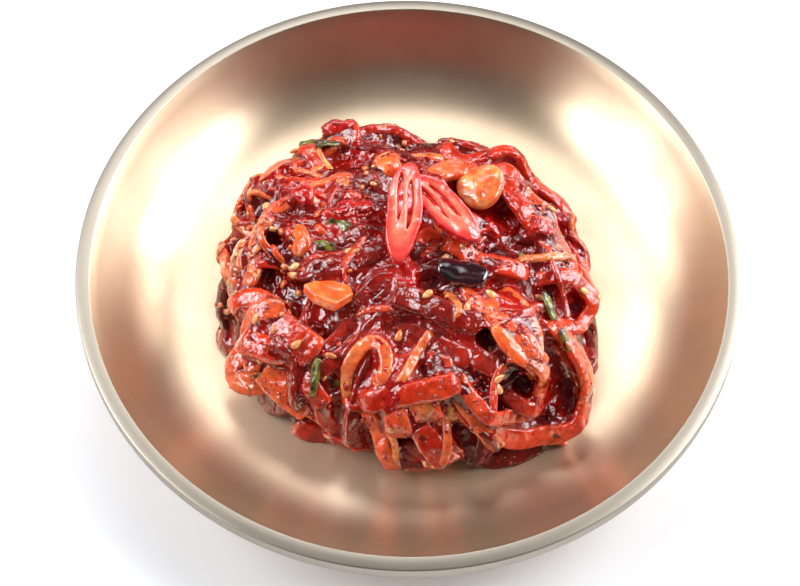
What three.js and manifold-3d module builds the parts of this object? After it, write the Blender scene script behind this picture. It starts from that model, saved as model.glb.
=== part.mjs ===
// A mound of seasoned radish-strip kimchi in a shallow spun-bronze dish.
// Millimetres, +Z up. The origin is the centre of the dish's foot, on the table.

import * as THREE from 'three';
import { mergeVertices } from 'three/addons/utils/BufferGeometryUtils.js';
import Module from 'manifold-3d';

const wasm = await Module();
wasm.setup();

// ---- driving sizes ----

const radians = THREE.MathUtils.degToRad;

const GAP = 0.3; // clearance between pieces that touch

const DISH = {
  rimRadius: 85,
  lipInnerRadius: 81.2,
  height: 27,
  lipFall: 0.5, // the lip's flat face drops this much from its inner to its outer edge
  lipDepth: 4, // height of the lip's outer side
  wall: 2.4,
  floorRadius: 56, // the nearly flat floor ends here
  floorSlope: 3.5, // degrees, at the end of the floor
  bendRadius: 26, // of the bend from the floor up to the wall
  bendSlope: 48, // degrees, where the bend ends
  wallSlope: 58, // degrees, at the lip
  footRadius: 46,
  footWidth: 4,
  footHeight: 3.5,
  turns: 48, // facets round the dish
};

const MOUND = {
  centre: new THREE.Vector3(0, -1.8, 14),
  height: 30.2, // from the centre to the top of the mound's even shape
  under: 14, // from the centre down to where the sides would close
  radius: 50.2, // mean radius at the level of the centre
  // how the plan outline leaves a circle: [waves round, mm along right, mm along away]
  outline: [[1, 0, -1.2], [2, 1.9, -3], [3, -0.7, -1], [4, -1.5, 0.8]],
  upperPower: 2.3, // 2 is an ellipsoid, more is squarer shouldered
  lowerPower: 3.5,
  coreDepth: 5, // the heart of the mound lies this far under the even shape
  mapRadius: 42, // map millimetres per radian from the top
};

// How strips are laid one over another.
const LAY = {
  step: 2, // spacing of the sections that are fitted to what lies below
  sink: 0.7, // how far a strip presses into what it lies on
  sag: 0.25, // how much a step of a bridging strip may hang
  passes: 40,
  lean: 38, // degrees that a strip on the mound's side leans back, its face turned up
  endTuck: 1.6,
  endLength: 6,
  highest: 2.5, // no strip's centre lies further than this over the even shape
  fillHighest: -3.2, // and no inner strip's
  skirtHighest: -1,
};

// Strips in the inside of the mound, which show as the core's bumps between the others.
const FILL = { seed: 71, count: 34, reach: 74, long: [40, 58], wide: [4, 6.2], turn: [15, 70], stray: 55 };

// Other pieces mixed in and lying on the mound: kind; right and away on the map; heading; length;
// width; thickness.
const MIXED = [
  ['chunk', -8, 35, 90, 9, 7.5, 7],
  ['chunk', 6, 42, 10, 11, 4.4, 3.6],
  ['chunk', -31, 23, -48, 6.6, 5.4, 4.6],
  ['chunk', 14, -50, -37, 5.6, 4.6, 3.6],
  ['chunk', -34, 0, -71, 9, 6.6, 3],
  ['chunk', 26, -31, -43, 13, 4, 3],
  ['pulp', -2, -15, -80, 12, 6, 4.4],
  ['pulp', 28, 9, -8, 9, 6.4, 4],
  ['pulp', -19, 12, 0, 9, 6, 3.6],
  ['pulp', 39, 7, 0, 7, 6, 4],
  ['leaf', -24, 36, -24, 12, 4, 2],
  ['leaf', -27, 8, -23, 11, 7.4, 1],
  ['leaf', -29, -2, -19, 8.5, 3, 1],
  ['leaf', -24, -47, -115, 8.5, 2.6, 1.6],
  ['leaf', -27, -42, -109, 7, 2.6, 1.6],
  ['leaf', 39, -7, -89, 11, 4.4, 1],
  ['leaf', 41, -17, -78, 8, 3, 1],
  ['leaf', 42, -25, -64, 6, 3, 1],
];

// Sesame seeds, evenly spread over the mound and strayed a little.
const SEEDS = { seed: 5, count: 18, reach: 62, stray: 5, long: 3.2, wide: 1.8, thick: 1.1 };

// Toppings that lie on the mound, each placed by its centre, heading, pitch (front end up) and roll.
const CHILI_SLICES = [
  { place: [-1.5, 2.2, 49.2], turn: [-95, -5, 0], long: 28, wide: 8.9, thick: 3 },
  { place: [8.6, 4.4, 47], turn: [-44, -10, 0], long: 23.5, wide: 9, thick: 3 },
];
const CHILI_BEND = 48; // radius to which a chili slice droops
const CARROT_SLICE = { place: [-20, -18, 41.5], turn: [-5, -6, -22], long: 12.4, wide: 9.6, thick: 2.8 };
const GARLIC_SLICE = { place: [17.9, 15.4, 40.1], turn: [60, 12, -14], long: 12.6, wide: 12.4, thick: 4 };
const DARK_PIECE = { place: [13, -11.4, 42], turn: [-8, -8, -6], long: 13.2, wide: 7.8, thick: 3.8 };

// Strips round the foot of the mound and up its back: distance out on the map, and angles round.
const SKIRT = {
  seed: 12,
  wide: [4.4, 6.4],
  tilt: 14, // degrees off the level
  rows: [
    { out: 72, from: 0, to: 360, count: 9 },
    { out: 62, from: 15, to: 165, count: 4 },
    { out: 49, from: 35, to: 150, count: 3 },
  ],
};

// Strips that show, in the order they were laid: name; start, right and away of the top on the
// mound's map; heading; length; turn in the first and the second half; width; roll at both ends;
// and how far the strip stands off what it lies on.
const TOP_STRIPS = [
  ['left end', -52, -27, -165, 17, 121, 17, 6.4, 0, 0, 3],
  ['dark base', -13, -66, 8, 32, 4, 8, 9, 0, 10, 0.8],
  ['left maroon', -15, -49, -127, 22, 31, 3, 4.4, 20, 0, 2.2],
  ['low flap', -36.5, -38.5, -60, 21, 8, 2, 5, 0, 10, -1],
  ['corner end', 45, -47, -8, 18, 25, 63, 5.4, 0, 0, 2],
  ['beside hairpin', -19, -67, 82, 34, -5, -28, 3.8, 30, 50],
  ['low left', -26, -68, 89, 28, 0, 23, 4.8, 10, 40],
  ['brown flap', -8, -56, 22, 20, 14, 11, 6.6, 0, 15, 2],
  ['left arc low', -58, 24, -100, 40, 29, -3, 3.8, 0, 30, 1.5],
  ['left curl', -52, -18, 62, 20, -91, -34, 4.8, 0, 0, 2.5],
  ['left arc high', -54, 15, 88, 27, -85, -26, 4.2, 0, 20, 0.5],
  ['left arc outer', -49, -10, 87, 33, -21, -36, 4.2, 25, 0],
  ['left arc inner', -45, -12, 90, 29, -15, -34, 3.8, 0, 30],
  ['top left', -29, 33, 123, 31, -83, -155, 4.2, 0, 30, 1],
  ['top right', 10, 46, -55, 32, 48, 32, 4.2, 20, 0],
  ['arm inner', 28, 27, -69, 40, 14, -25, 6.2, 0, -15],
  ['arm middle', 25, 28, -8, 52, -64, -8, 4.8, 15, -20],
  ['arm outer', 24, 36, 6, 70, -69, -56, 4.6, -10, 25, 0.5],
  ['right curl', 40, -10, 56, 32, -144, -122, 4.2, 0, 20, 1],
  ['narrow flat', 30, -17, -58, 20, -28, -18, 6, 0, 20],
  ['broad flat', 21, -13, -85, 28, 29, 33, 7.4, -10, 10],
  ['right low', 38, -23, -27, 30, -30, -113, 4.2, 30, 0, 0.5],
  ['outer arc', 15, -46.5, -47, 60, 88, 106, 5.4, 0, 30, 0.8],
  ['low red', 6, -46, -66, 19, 8, 26, 3.8, 0, 20],
  ['pale flap', 13.5, -45.5, -38, 19, 4, 3, 3.8, 0, 20, 0.8],
  ['bottom base', -7, -75, -6, 28, 36, 10, 4.6, 0, 10, 0.5],
  ['dark petal', 3, -53, -47, 15, 10, 0, 7, 0, 15, 0.5],
  ['petal', -4, -47, -72, 10, -5, 0, 6.4, 0, 10, 0.5],
  ['bottom end', -12.5, -50, -68, 27, 10, -6, 4.4, 10, 20, 0.5],
  ['centre right', 6, -30, 1, 22, -45, 59, 5.2, 0, 0],
  ['centre low', -8, -33, -10, 27, 3, -8, 5.8, 10, 0],
  ['dark ring', 13, -40, -60, 44, 85, 181, 4.2, 0, 30, 1],
  ['fan 2', -29, -40, 48, 35, -9, -11, 4.4, 35, 10],
  ['fan 3', -29, -41, 21, 35, 15, -1, 4.2, 10, 30],
  ['fan 4', -20, -40, 47, 29, -5, -17, 4.8, 20, 0],
  ['centre high', -5, -22, -14, 27, -4, 13, 6.2, 0, 10],
  ['upper bar', -9, -44, 28, 24, -17, -22, 4.4, 15, 0],
  ['red bar', -14, -48, 4, 29, 10, 7, 6.2, 0, 10],
  ['hairpin', -18, -49, 114, 32, -88, -197, 3.4, 0, 0],
  ['broad red', -43, -22, -19, 22, -26, -4, 9, 0, 15],
  ['broad low', -42.5, -34, -62, 20, 13, 9, 8.4, 10, 0, -1],
  ['left ribbon', -42, -35, 136, 24, -67, -118, 4.8, 20, 0],
  ['mid left low', -39, 4, 20, 33, -42, 37, 5.4, 0, 10],
  ['mid left high', -39, 15, 24, 33, -44, -6, 4.8, 10, 0],
  ['shoulder', -37, 22, 48, 23, -92, 15, 4.4, 0, 20],
  ['top dark', -34, 28, 9, 30, -28, -12, 4.4, 15, 0],
  ['top chunk', 8, 26, 56, 15, -47, -60, 6.2, 0, 0],
  ['red over left', -39, -7, -15, 33, 34, -16, 3.8, 20, 0],
  ['fan 1', -22, -28, 47, 29, -11, -8, 4.2, 10, 30],
  ['dark over left', -40, -8, -28, 40, 44, 11, 5.4, 0, 15],
  ['beside garlic', 5, 25, -34, 29, -21, 51, 4.8, 0, 15],
  ['under chili', 4, 6, -43, 38, 20, 15, 5, 15, 0],
];

const GOLDEN = Math.PI * (3 - Math.sqrt(5)); // angle between neighbours of an even scatter

const SKIN = {
  coreUnder: 1, // the core's skin lies this far under the tops of the inner strips
  ringTurn: radians(38), // a strip's solid gets a ring after this much turning
  ringRun: 9, // or after this length
};

const COLOURS = {
  bronze: 0xb8a184,
  kimchi: 0x9a2a1c,
  chili: 0xe23b3a,
  carrot: 0xf4702c,
  garlic: 0xeaa45a,
  darkSkin: 0x2c1420,
};

// ---- small helpers ----

const lerp = THREE.MathUtils.lerp;

// Repeatable random numbers from 0 to 1.
function randomSource(seed) {
  let state = seed;
  return () => {
    state = (state * 16807) % 2147483647;
    return state / 2147483647;
  };
}

function solidOf(geometry) {
  const bare = geometry.clone();
  bare.deleteAttribute('normal');
  bare.deleteAttribute('uv');
  const merged = mergeVertices(bare, 1e-5);
  return new wasm.Manifold(new wasm.Mesh({
    numProp: 3,
    vertProperties: new Float32Array(merged.attributes.position.array),
    triVerts: new Uint32Array(merged.index.array),
  }));
}

function geometryOf(solid) {
  const mesh = solid.getMesh();
  const geometry = new THREE.BufferGeometry();
  geometry.setAttribute('position', new THREE.BufferAttribute(mesh.vertProperties, 3));
  geometry.setIndex(new THREE.BufferAttribute(mesh.triVerts, 1));
  return geometry;
}

// The piece of a joined solid that holds together: scraps and sealed hollows are left out.
function mainPiece(solid) {
  const pieces = solid.decompose();
  return pieces.reduce((best, piece) => (piece.volume() > best.volume() ? piece : best));
}

function meshOf(name, geometry, colour, roughness, metalness = 0) {
  const material = new THREE.MeshStandardMaterial({ color: colour, roughness, metalness });
  const mesh = new THREE.Mesh(geometry, material);
  mesh.name = name;
  return mesh;
}

// ---- the dish ----

const slopeSine = (slope) => Math.sin(radians(slope));
const slopeCosine = (slope) => Math.cos(radians(slope));

// The inner face: a nearly flat floor, a bend, and a wall that curves gently to the lip.
const bendEnd = DISH.floorRadius
  + DISH.bendRadius * (slopeSine(DISH.bendSlope) - slopeSine(DISH.floorSlope));
const wallRadius = (DISH.lipInnerRadius - bendEnd)
  / (slopeSine(DISH.wallSlope) - slopeSine(DISH.bendSlope));
const bendTop = DISH.height
  - wallRadius * (slopeCosine(DISH.bendSlope) - slopeCosine(DISH.wallSlope));
const floorEnd = bendTop
  - DISH.bendRadius * (slopeCosine(DISH.floorSlope) - slopeCosine(DISH.bendSlope));
const floorRise = DISH.floorRadius * Math.tan(radians(DISH.floorSlope)) / 2;
const dishFloor = floorEnd - floorRise;

// A point of the dish's inner face by slope, moved off it along its normal.
function wallPoint(slope, offset) {
  const onBend = slope <= DISH.bendSlope;
  const start = onBend ? DISH.floorSlope : DISH.bendSlope;
  const curve = onBend ? DISH.bendRadius : wallRadius;
  const radius = (onBend ? DISH.floorRadius : bendEnd)
    + curve * (slopeSine(slope) - slopeSine(start));
  const height = (onBend ? floorEnd : bendTop)
    + curve * (slopeCosine(start) - slopeCosine(slope));
  return new THREE.Vector2(radius - offset * slopeSine(slope), height + offset * slopeCosine(slope));
}

function floorHeight(radius) {
  if (radius <= DISH.floorRadius) return dishFloor + floorRise * (radius / DISH.floorRadius) ** 2;
  const sine = radius <= bendEnd
    ? slopeSine(DISH.floorSlope) + (radius - DISH.floorRadius) / DISH.bendRadius
    : slopeSine(DISH.bendSlope) + (radius - bendEnd) / wallRadius;
  return wallPoint(THREE.MathUtils.radToDeg(Math.asin(Math.min(sine, 0.9))), 0).y;
}

function innerFace(offset) {
  const points = [0, 0.5].map((part) => {
    const radius = part * DISH.floorRadius;
    return new THREE.Vector2(radius, floorHeight(radius) + offset);
  });
  const steps = 7;
  for (let i = 0; i <= steps; i += 1) {
    points.push(wallPoint(lerp(DISH.floorSlope, DISH.wallSlope, i / steps), offset));
  }
  return points;
}

function dishGeometry() {
  const { rimRadius, footRadius, footWidth, footHeight, height, lipFall, lipDepth, wall } = DISH;
  const lipTop = height - lipFall;
  const bevel = 0.5;
  const foot = [
    new THREE.Vector2(0, footHeight),
    new THREE.Vector2(footRadius - footWidth - 0.5, footHeight),
    new THREE.Vector2(footRadius - footWidth, 0),
    new THREE.Vector2(footRadius, 0),
    new THREE.Vector2(footRadius + 0.6, footHeight + 0.4),
  ];
  const outside = [10, 21, 33, 46].map((slope) => wallPoint(slope, -wall));
  const lip = [
    new THREE.Vector2(rimRadius - bevel, lipTop - lipDepth),
    new THREE.Vector2(rimRadius, lipTop - lipDepth + bevel),
    new THREE.Vector2(rimRadius, lipTop - bevel),
    new THREE.Vector2(rimRadius - bevel, lipTop),
  ];
  const profile = [...foot, ...outside, ...lip, ...innerFace(0).reverse()];
  return new THREE.LatheGeometry(profile, DISH.turns).rotateX(Math.PI / 2);
}

// What food has to stay clear of: the dish with its inner face raised by the gap.
function dishReach() {
  const profile = [new THREE.Vector2(0, -1), new THREE.Vector2(DISH.rimRadius, -1)];
  profile.push(...innerFace(GAP).reverse());
  return solidOf(new THREE.LatheGeometry(profile, DISH.turns).rotateX(Math.PI / 2));
}

// ---- the mound's even shape and its map ----

// The direction from the mound's centre of a place on its map.
function mapDirection(right, away) {
  const polar = Math.hypot(right, away) / MOUND.mapRadius;
  const around = Math.atan2(away, right);
  return new THREE.Vector3(
    Math.sin(polar) * Math.cos(around),
    Math.sin(polar) * Math.sin(around),
    Math.cos(polar),
  );
}

function mapPlace(direction) {
  const polar = Math.acos(THREE.MathUtils.clamp(direction.z / direction.length(), -1, 1));
  const around = Math.atan2(direction.y, direction.x);
  return [polar * MOUND.mapRadius * Math.cos(around), polar * MOUND.mapRadius * Math.sin(around)];
}

// How far the mound's even shape lies from its centre in a direction.
function moundRadius(direction) {
  const around = Math.atan2(direction.y, direction.x);
  let plan = MOUND.radius;
  for (const [waves, right, away] of MOUND.outline) {
    plan += right * Math.cos(waves * around) + away * Math.sin(waves * around);
  }
  const upper = direction.z >= 0;
  const power = upper ? MOUND.upperPower : MOUND.lowerPower;
  const tall = upper ? MOUND.height : MOUND.under;
  const flat = Math.hypot(direction.x, direction.y);
  return ((flat / plan) ** power + (Math.abs(direction.z) / tall) ** power) ** (-1 / power);
}

// The height of what has been laid so far: its distance from the centre, on a 1 mm map.
const MAP_HALF = 100;
const MAP_SIDE = 2 * MAP_HALF + 1;
const laid = new Float64Array(MAP_SIDE * MAP_SIDE);

function mapCell(direction) {
  const [right, away] = mapPlace(direction);
  const column = THREE.MathUtils.clamp(Math.round(right) + MAP_HALF, 0, MAP_SIDE - 1);
  const row = THREE.MathUtils.clamp(Math.round(away) + MAP_HALF, 0, MAP_SIDE - 1);
  return row * MAP_SIDE + column;
}

for (let row = 0; row < MAP_SIDE; row += 1) {
  for (let column = 0; column < MAP_SIDE; column += 1) {
    const direction = mapDirection(column - MAP_HALF, row - MAP_HALF);
    laid[row * MAP_SIDE + column] = moundRadius(direction) - MOUND.coreDepth;
  }
}

// ---- laying a strip on the mound ----

function stripRoute({ start, heading, long, turns }, count) {
  const places = [start];
  let [right, away] = start;
  const step = long / count;
  let along = radians(heading);
  for (let i = 0; i < count; i += 1) {
    const bend = radians(turns[i < count / 2 ? 0 : 1]) / (count / 2);
    right += Math.cos(along + bend / 2) * step;
    away += Math.sin(along + bend / 2) * step;
    along += bend;
    places.push([right, away]);
  }
  return places;
}

// The lowest distance from the centre at which a section clears what lies below it.
function clearRadius(direction, side, halfWide, halfThick) {
  const reach = moundRadius(direction);
  let clear = 0;
  for (const across of [-1, -0.5, 0, 0.5, 1]) {
    const probe = direction.clone().multiplyScalar(reach).addScaledVector(side, across * halfWide);
    const lift = halfThick * Math.sqrt(1 - 0.8 * across * across);
    clear = Math.max(clear, laid[mapCell(probe)] + lift);
  }
  return clear - LAY.sink;
}

// A stiff strip bridges hollows, follows bumps and dives a little at its ends.
function settle(clear, limit, step, stand) {
  let radius = clear.slice();
  for (let pass = 0; pass < LAY.passes; pass += 1) {
    const last = radius;
    radius = last.map((value, i) => {
      if (i === 0 || i === last.length - 1) return clear[i];
      return Math.max(clear[i], (last[i - 1] + last[i + 1]) / 2 - LAY.sag);
    });
  }
  const smooth = radius.map((value, i) => {
    const before = radius[Math.max(i - 1, 0)];
    const after = radius[Math.min(i + 1, radius.length - 1)];
    return (before + 2 * value + after) / 4;
  });
  return smooth.map((value, i) => {
    const fromEnd = Math.min(i, smooth.length - 1 - i) * step;
    const tuck = (LAY.endTuck + stand / 2) * Math.max(0, 1 - fromEnd / LAY.endLength) ** 2;
    return Math.min(value, limit[i]) - tuck;
  });
}

function sideOf(directions, i) {
  const before = directions[Math.max(i - 1, 0)];
  const after = directions[Math.min(i + 1, directions.length - 1)];
  return directions[i].clone().cross(after.clone().sub(before)).normalize();
}

// Fits a strip to what lies below, raises the map by it and gives its sections.
function layStrip(strip) {
  const count = Math.max(6, 2 * Math.round(strip.long / LAY.step / 2));
  const directions = stripRoute(strip, count).map(([right, away]) => mapDirection(right, away));
  const sections = directions.map((direction, i) => {
    const side = sideOf(directions, i);
    const roll = radians(lerp(strip.roll[0], strip.roll[1], i / count) - LAY.lean * side.z);
    const wide = strip.wide / 2;
    const thick = strip.thick / 2;
    return {
      direction,
      roll,
      side,
      halfWide: Math.hypot(wide * Math.cos(roll), thick * Math.sin(roll)),
      halfThick: Math.hypot(wide * Math.sin(roll), thick * Math.cos(roll)),
    };
  });
  const clear = sections.map((s) => clearRadius(s.direction, s.side, s.halfWide, s.halfThick));
  const limit = directions.map((direction) => moundRadius(direction) + strip.highest);
  const radius = settle(clear, limit, strip.long / count, strip.stand);
  sections.forEach((section, i) => {
    const { direction, halfThick } = section;
    const stand = strip.stand * Math.sqrt(Math.max(0, Math.sin(Math.PI * i / count)));
    section.centre = direction.clone().multiplyScalar(radius[i] + stand).add(MOUND.centre);
    const flat = Math.hypot(section.centre.x, section.centre.y);
    section.centre.z = Math.max(section.centre.z, floorHeight(flat) + halfThick + GAP);
  });
  raiseMap(sections);
  return sections;
}

// Every cell of the map under the strip rises to the strip's outer face.
function raiseMap(sections) {
  const fine = 3;
  for (let i = 0; i < sections.length - 1; i += 1) {
    const [a, b] = [sections[i], sections[i + 1]];
    for (let part = 0; part < fine; part += 1) {
      const centre = a.centre.clone().lerp(b.centre, part / fine).sub(MOUND.centre);
      const radius = centre.length();
      const halfWide = lerp(a.halfWide, b.halfWide, part / fine);
      const halfThick = lerp(a.halfThick, b.halfThick, part / fine);
      const reach = Math.ceil(halfWide / 0.8);
      for (let k = -reach; k <= reach; k += 1) {
        const across = k / reach;
        const cell = mapCell(centre.clone().addScaledVector(a.side, across * halfWide));
        const top = radius + halfThick * Math.sqrt(Math.max(0, 1 - across * across));
        laid[cell] = Math.max(laid[cell], top);
      }
    }
  }
}

// ---- a strip as a solid: five-sided rings, closed at the ends ----

// The corners of a ring: across the strip and up its thickness.
const RING = [[1, 0], [0.5, 1], [-0.5, 1], [-1, 0], [0, -1]];

// The sections that get a ring: both ends, and wherever the strip has turned or run on enough.
function ringSections(sections) {
  const kept = [sections[0]];
  let turned = 0;
  let run = 0;
  for (let i = 1; i < sections.length - 1; i += 1) {
    const before = sections[i].centre.clone().sub(sections[i - 1].centre);
    const after = sections[i + 1].centre.clone().sub(sections[i].centre);
    turned += before.angleTo(after);
    run += before.length();
    if (turned > SKIN.ringTurn || run > SKIN.ringRun) {
      kept.push(sections[i]);
      turned = 0;
      run = 0;
    }
  }
  kept.push(sections[sections.length - 1]);
  return kept;
}

function stripGeometry(strip, sections) {
  const kept = ringSections(sections);
  const points = [];
  kept.forEach((section, i) => {
    const before = kept[Math.max(i - 1, 0)].centre;
    const after = kept[Math.min(i + 1, kept.length - 1)].centre;
    const along = after.clone().sub(before).normalize();
    const side = section.direction.clone().cross(along).normalize();
    const out = along.clone().cross(side);
    const end = i === 0 || i === kept.length - 1;
    const wide = strip.wide / 2 * (end ? 0.8 : 1);
    const thick = strip.thick / 2 * (end ? 0.75 : 1);
    for (const [across, up] of RING) {
      const x = across * wide * Math.cos(section.roll) - up * thick * Math.sin(section.roll);
      const y = across * wide * Math.sin(section.roll) + up * thick * Math.cos(section.roll);
      points.push(section.centre.clone().addScaledVector(side, x).addScaledVector(out, y));
    }
  });
  return ringSkin(points, RING.length);
}

// Joins equal rings of points into a closed skin.
function ringSkin(points, sides) {
  const rings = points.length / sides;
  const index = [];
  for (let ring = 0; ring < rings - 1; ring += 1) {
    for (let k = 0; k < sides; k += 1) {
      const a = ring * sides + k;
      const b = ring * sides + (k + 1) % sides;
      index.push(a, b, b + sides, a, b + sides, a + sides);
    }
  }
  for (let k = 1; k < sides - 1; k += 1) {
    const last = (rings - 1) * sides;
    index.push(0, k + 1, k, last, last + k, last + k + 1);
  }
  const geometry = new THREE.BufferGeometry().setFromPoints(points);
  geometry.setIndex(index);
  return geometry;
}

function fillStrips() {
  const random = randomSource(FILL.seed);
  const between = ([low, high]) => lerp(low, high, random());
  const strips = [];
  for (let k = 0; k < FILL.count; k += 1) {
    const out = FILL.reach * Math.sqrt((k + 0.5) / FILL.count);
    const heading = THREE.MathUtils.radToDeg(k * GOLDEN) + 90 + FILL.stray * (2 * random() - 1);
    const long = between(FILL.long);
    const bend = between(FILL.turn);
    const wide = between(FILL.wide);
    const start = [
      out * Math.cos(k * GOLDEN) - long / 2 * Math.cos(radians(heading)),
      out * Math.sin(k * GOLDEN) - long / 2 * Math.sin(radians(heading)),
    ];
    strips.push({
      start,
      heading: heading - bend,
      long,
      turns: [bend, bend],
      wide,
      thick: 2.6,
      roll: [0, 20],
      stand: 0,
      highest: LAY.fillHighest,
    });
  }
  return strips;
}

// Strips round the foot of the mound and up its back.
function skirtStrips() {
  const random = randomSource(SKIRT.seed);
  const strips = [];
  for (const { out, from, to, count } of SKIRT.rows) {
    for (let k = 0; k < count; k += 1) {
      const around = lerp(from, to, (k + 0.5) / count) + 8 * (2 * random() - 1);
      const place = out + 3 * (2 * random() - 1);
      const long = (to - from) / count * radians(1) * place * 1.15;
      const tilt = SKIRT.tilt * (2 * random() - 1);
      const bend = THREE.MathUtils.radToDeg(long / place) * 0.8;
      const heading = around + 90 + tilt - bend / 2;
      const wide = lerp(SKIRT.wide[0], SKIRT.wide[1], random());
      const start = [
        place * Math.cos(radians(around)) - long / 2 * Math.cos(radians(around + 90 + tilt)),
        place * Math.sin(radians(around)) - long / 2 * Math.sin(radians(around + 90 + tilt)),
      ];
      strips.push({
        start,
        heading,
        long,
        turns: [bend / 2, bend / 2],
        wide,
        thick: 2.6,
        roll: [0, 25],
        stand: 0,
        highest: LAY.skirtHighest,
      });
    }
  }
  return strips;
}

function topStrips() {
  return TOP_STRIPS.map((row) => {
    const [name, right, away, heading, long, first, second, wide, rollA, rollB, stand = 0] = row;
    return {
      name,
      start: [right, away],
      heading,
      long,
      turns: [first, second],
      wide,
      thick: THREE.MathUtils.clamp(0.45 * wide, 1.8, 3),
      roll: [rollA, rollB],
      stand,
      highest: LAY.highest,
    };
  });
}

// The solid core: the heart of the mound with the inner strips that lie on it.
function coreGeometry() {
  const geometry = new THREE.SphereGeometry(1, 36, 20).rotateX(Math.PI / 2);
  const places = geometry.attributes.position;
  const direction = new THREE.Vector3();
  for (let i = 0; i < places.count; i += 1) {
    direction.fromBufferAttribute(places, i).normalize();
    const point = direction.clone().multiplyScalar(laid[mapCell(direction)] - SKIN.coreUnder);
    point.add(MOUND.centre);
    places.setXYZ(i, point.x, point.y, point.z);
  }
  return geometry;
}

function heapSolid() {
  fillStrips().forEach(layStrip);
  let heap = solidOf(coreGeometry());
  for (const strip of [...skirtStrips(), ...topStrips()]) {
    heap = heap.add(solidOf(stripGeometry(strip, layStrip(strip))));
  }
  for (const piece of mixedSolids()) heap = heap.add(piece);
  return heap;
}

// ---- other pieces ----

// A rounded uneven lump.
function lumpGeometry([long, wide, thick], random) {
  const geometry = new THREE.OctahedronGeometry(1, 1);
  geometry.deleteAttribute('normal');
  geometry.deleteAttribute('uv');
  const lump = mergeVertices(geometry, 1e-4);
  const places = lump.attributes.position;
  for (let i = 0; i < places.count; i += 1) {
    const swell = 1 + 0.14 * (2 * random() - 1);
    places.setXYZ(
      i,
      places.getX(i) * long / 2 * swell,
      places.getY(i) * wide / 2 * swell,
      places.getZ(i) * thick / 2 * swell,
    );
  }
  return lump;
}

// A thin wavy leaf: four-sided rings along its length.
function leafGeometry([long, wide, thick], random) {
  const rings = 6;
  const points = [];
  for (let i = 0; i < rings; i += 1) {
    const along = i / (rings - 1);
    const half = wide / 2 * (0.25 + 0.75 * Math.sin(Math.PI * along) ** 0.6);
    const wave = 0.5 * (2 * random() - 1);
    const x = (along - 0.5) * long;
    points.push(new THREE.Vector3(x, half, wave - 0.4));
    points.push(new THREE.Vector3(x, 0, thick / 2 + wave));
    points.push(new THREE.Vector3(x, -half, wave - 0.4));
    points.push(new THREE.Vector3(x, 0, -thick / 2 + wave));
  }
  return ringSkin(points, 4);
}

function seedGeometry() {
  return new THREE.OctahedronGeometry(1, 0).scale(SEEDS.long / 2, SEEDS.wide / 2, SEEDS.thick / 2);
}

// Lays a piece on the mound at a place on the map: x along its heading, z away from the mound.
function lieOnMound(geometry, right, away, heading, raise) {
  const direction = mapDirection(right, away);
  const ahead = mapDirection(right + Math.cos(radians(heading)), away + Math.sin(radians(heading)));
  const along = ahead.multiplyScalar(moundRadius(ahead))
    .sub(direction.clone().multiplyScalar(moundRadius(direction))).normalize();
  const across = direction.clone().cross(along).normalize();
  const out = along.clone().cross(across);
  const centre = direction.clone().multiplyScalar(laid[mapCell(direction)] + raise).add(MOUND.centre);
  return geometry.applyMatrix4(new THREE.Matrix4().makeBasis(along, across, out).setPosition(centre));
}

function mixedSolids() {
  const random = randomSource(SEEDS.seed);
  const pieces = MIXED.map(([kind, right, away, heading, long, wide, thick]) => {
    const shape = kind === 'leaf' ? leafGeometry : lumpGeometry;
    const raise = kind === 'leaf' ? 0 : -0.15 * thick;
    return lieOnMound(shape([long, wide, thick], random), right, away, heading, raise);
  });
  for (let k = 0; k < SEEDS.count; k += 1) {
    const out = SEEDS.reach * Math.sqrt((k + 0.5) / SEEDS.count);
    const right = out * Math.cos(k * GOLDEN) + SEEDS.stray * (2 * random() - 1);
    const away = out * Math.sin(k * GOLDEN) + SEEDS.stray * (2 * random() - 1);
    pieces.push(lieOnMound(seedGeometry(), right, away, 360 * random(), -0.3));
  }
  return pieces.map(solidOf);
}

// ---- toppings ----

function setDown(geometry, { place, turn: [heading, pitch, roll] }) {
  const turned = new THREE.Euler(radians(roll), radians(-pitch), radians(heading), 'ZYX');
  const matrix = new THREE.Matrix4().makeRotationFromEuler(turned).setPosition(...place);
  return geometry.applyMatrix4(matrix);
}

function ellipsePath(long, wide, x, y, count) {
  const curve = new THREE.EllipseCurve(x, y, long / 2, wide / 2);
  return new THREE.Path(curve.getPoints(count).slice(0, -1));
}

// A slanting slice of a hollow chili: an oval ring with a wall across its seed space.
function chiliGeometry({ long, wide, thick }, grow = 0) {
  const outline = ellipsePath(long + 2 * grow, wide + 2 * grow, 0, 0, 18).getPoints();
  const shape = new THREE.Shape(outline);
  if (grow === 0) {
    for (const side of [-1, 1]) {
      const [x, y] = [(side * 0.04 - 0.1) * long, side * 0.15 * wide];
      shape.holes.push(ellipsePath(0.5 * long, 0.13 * wide, x, y, 10));
    }
  }
  const bevel = grow === 0 ? 0.5 : 0;
  const geometry = new THREE.ExtrudeGeometry(shape, {
    depth: thick + 2 * grow - 2 * bevel,
    bevelEnabled: bevel > 0,
    bevelThickness: bevel,
    bevelSize: bevel,
    bevelOffset: -bevel,
    bevelSegments: 1,
    steps: 1,
  });
  geometry.translate(0, 0, bevel - thick / 2 - grow);
  const places = geometry.attributes.position;
  for (let i = 0; i < places.count; i += 1) {
    places.setZ(i, places.getZ(i) - places.getX(i) ** 2 / (2 * CHILI_BEND));
  }
  return geometry;
}

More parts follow.
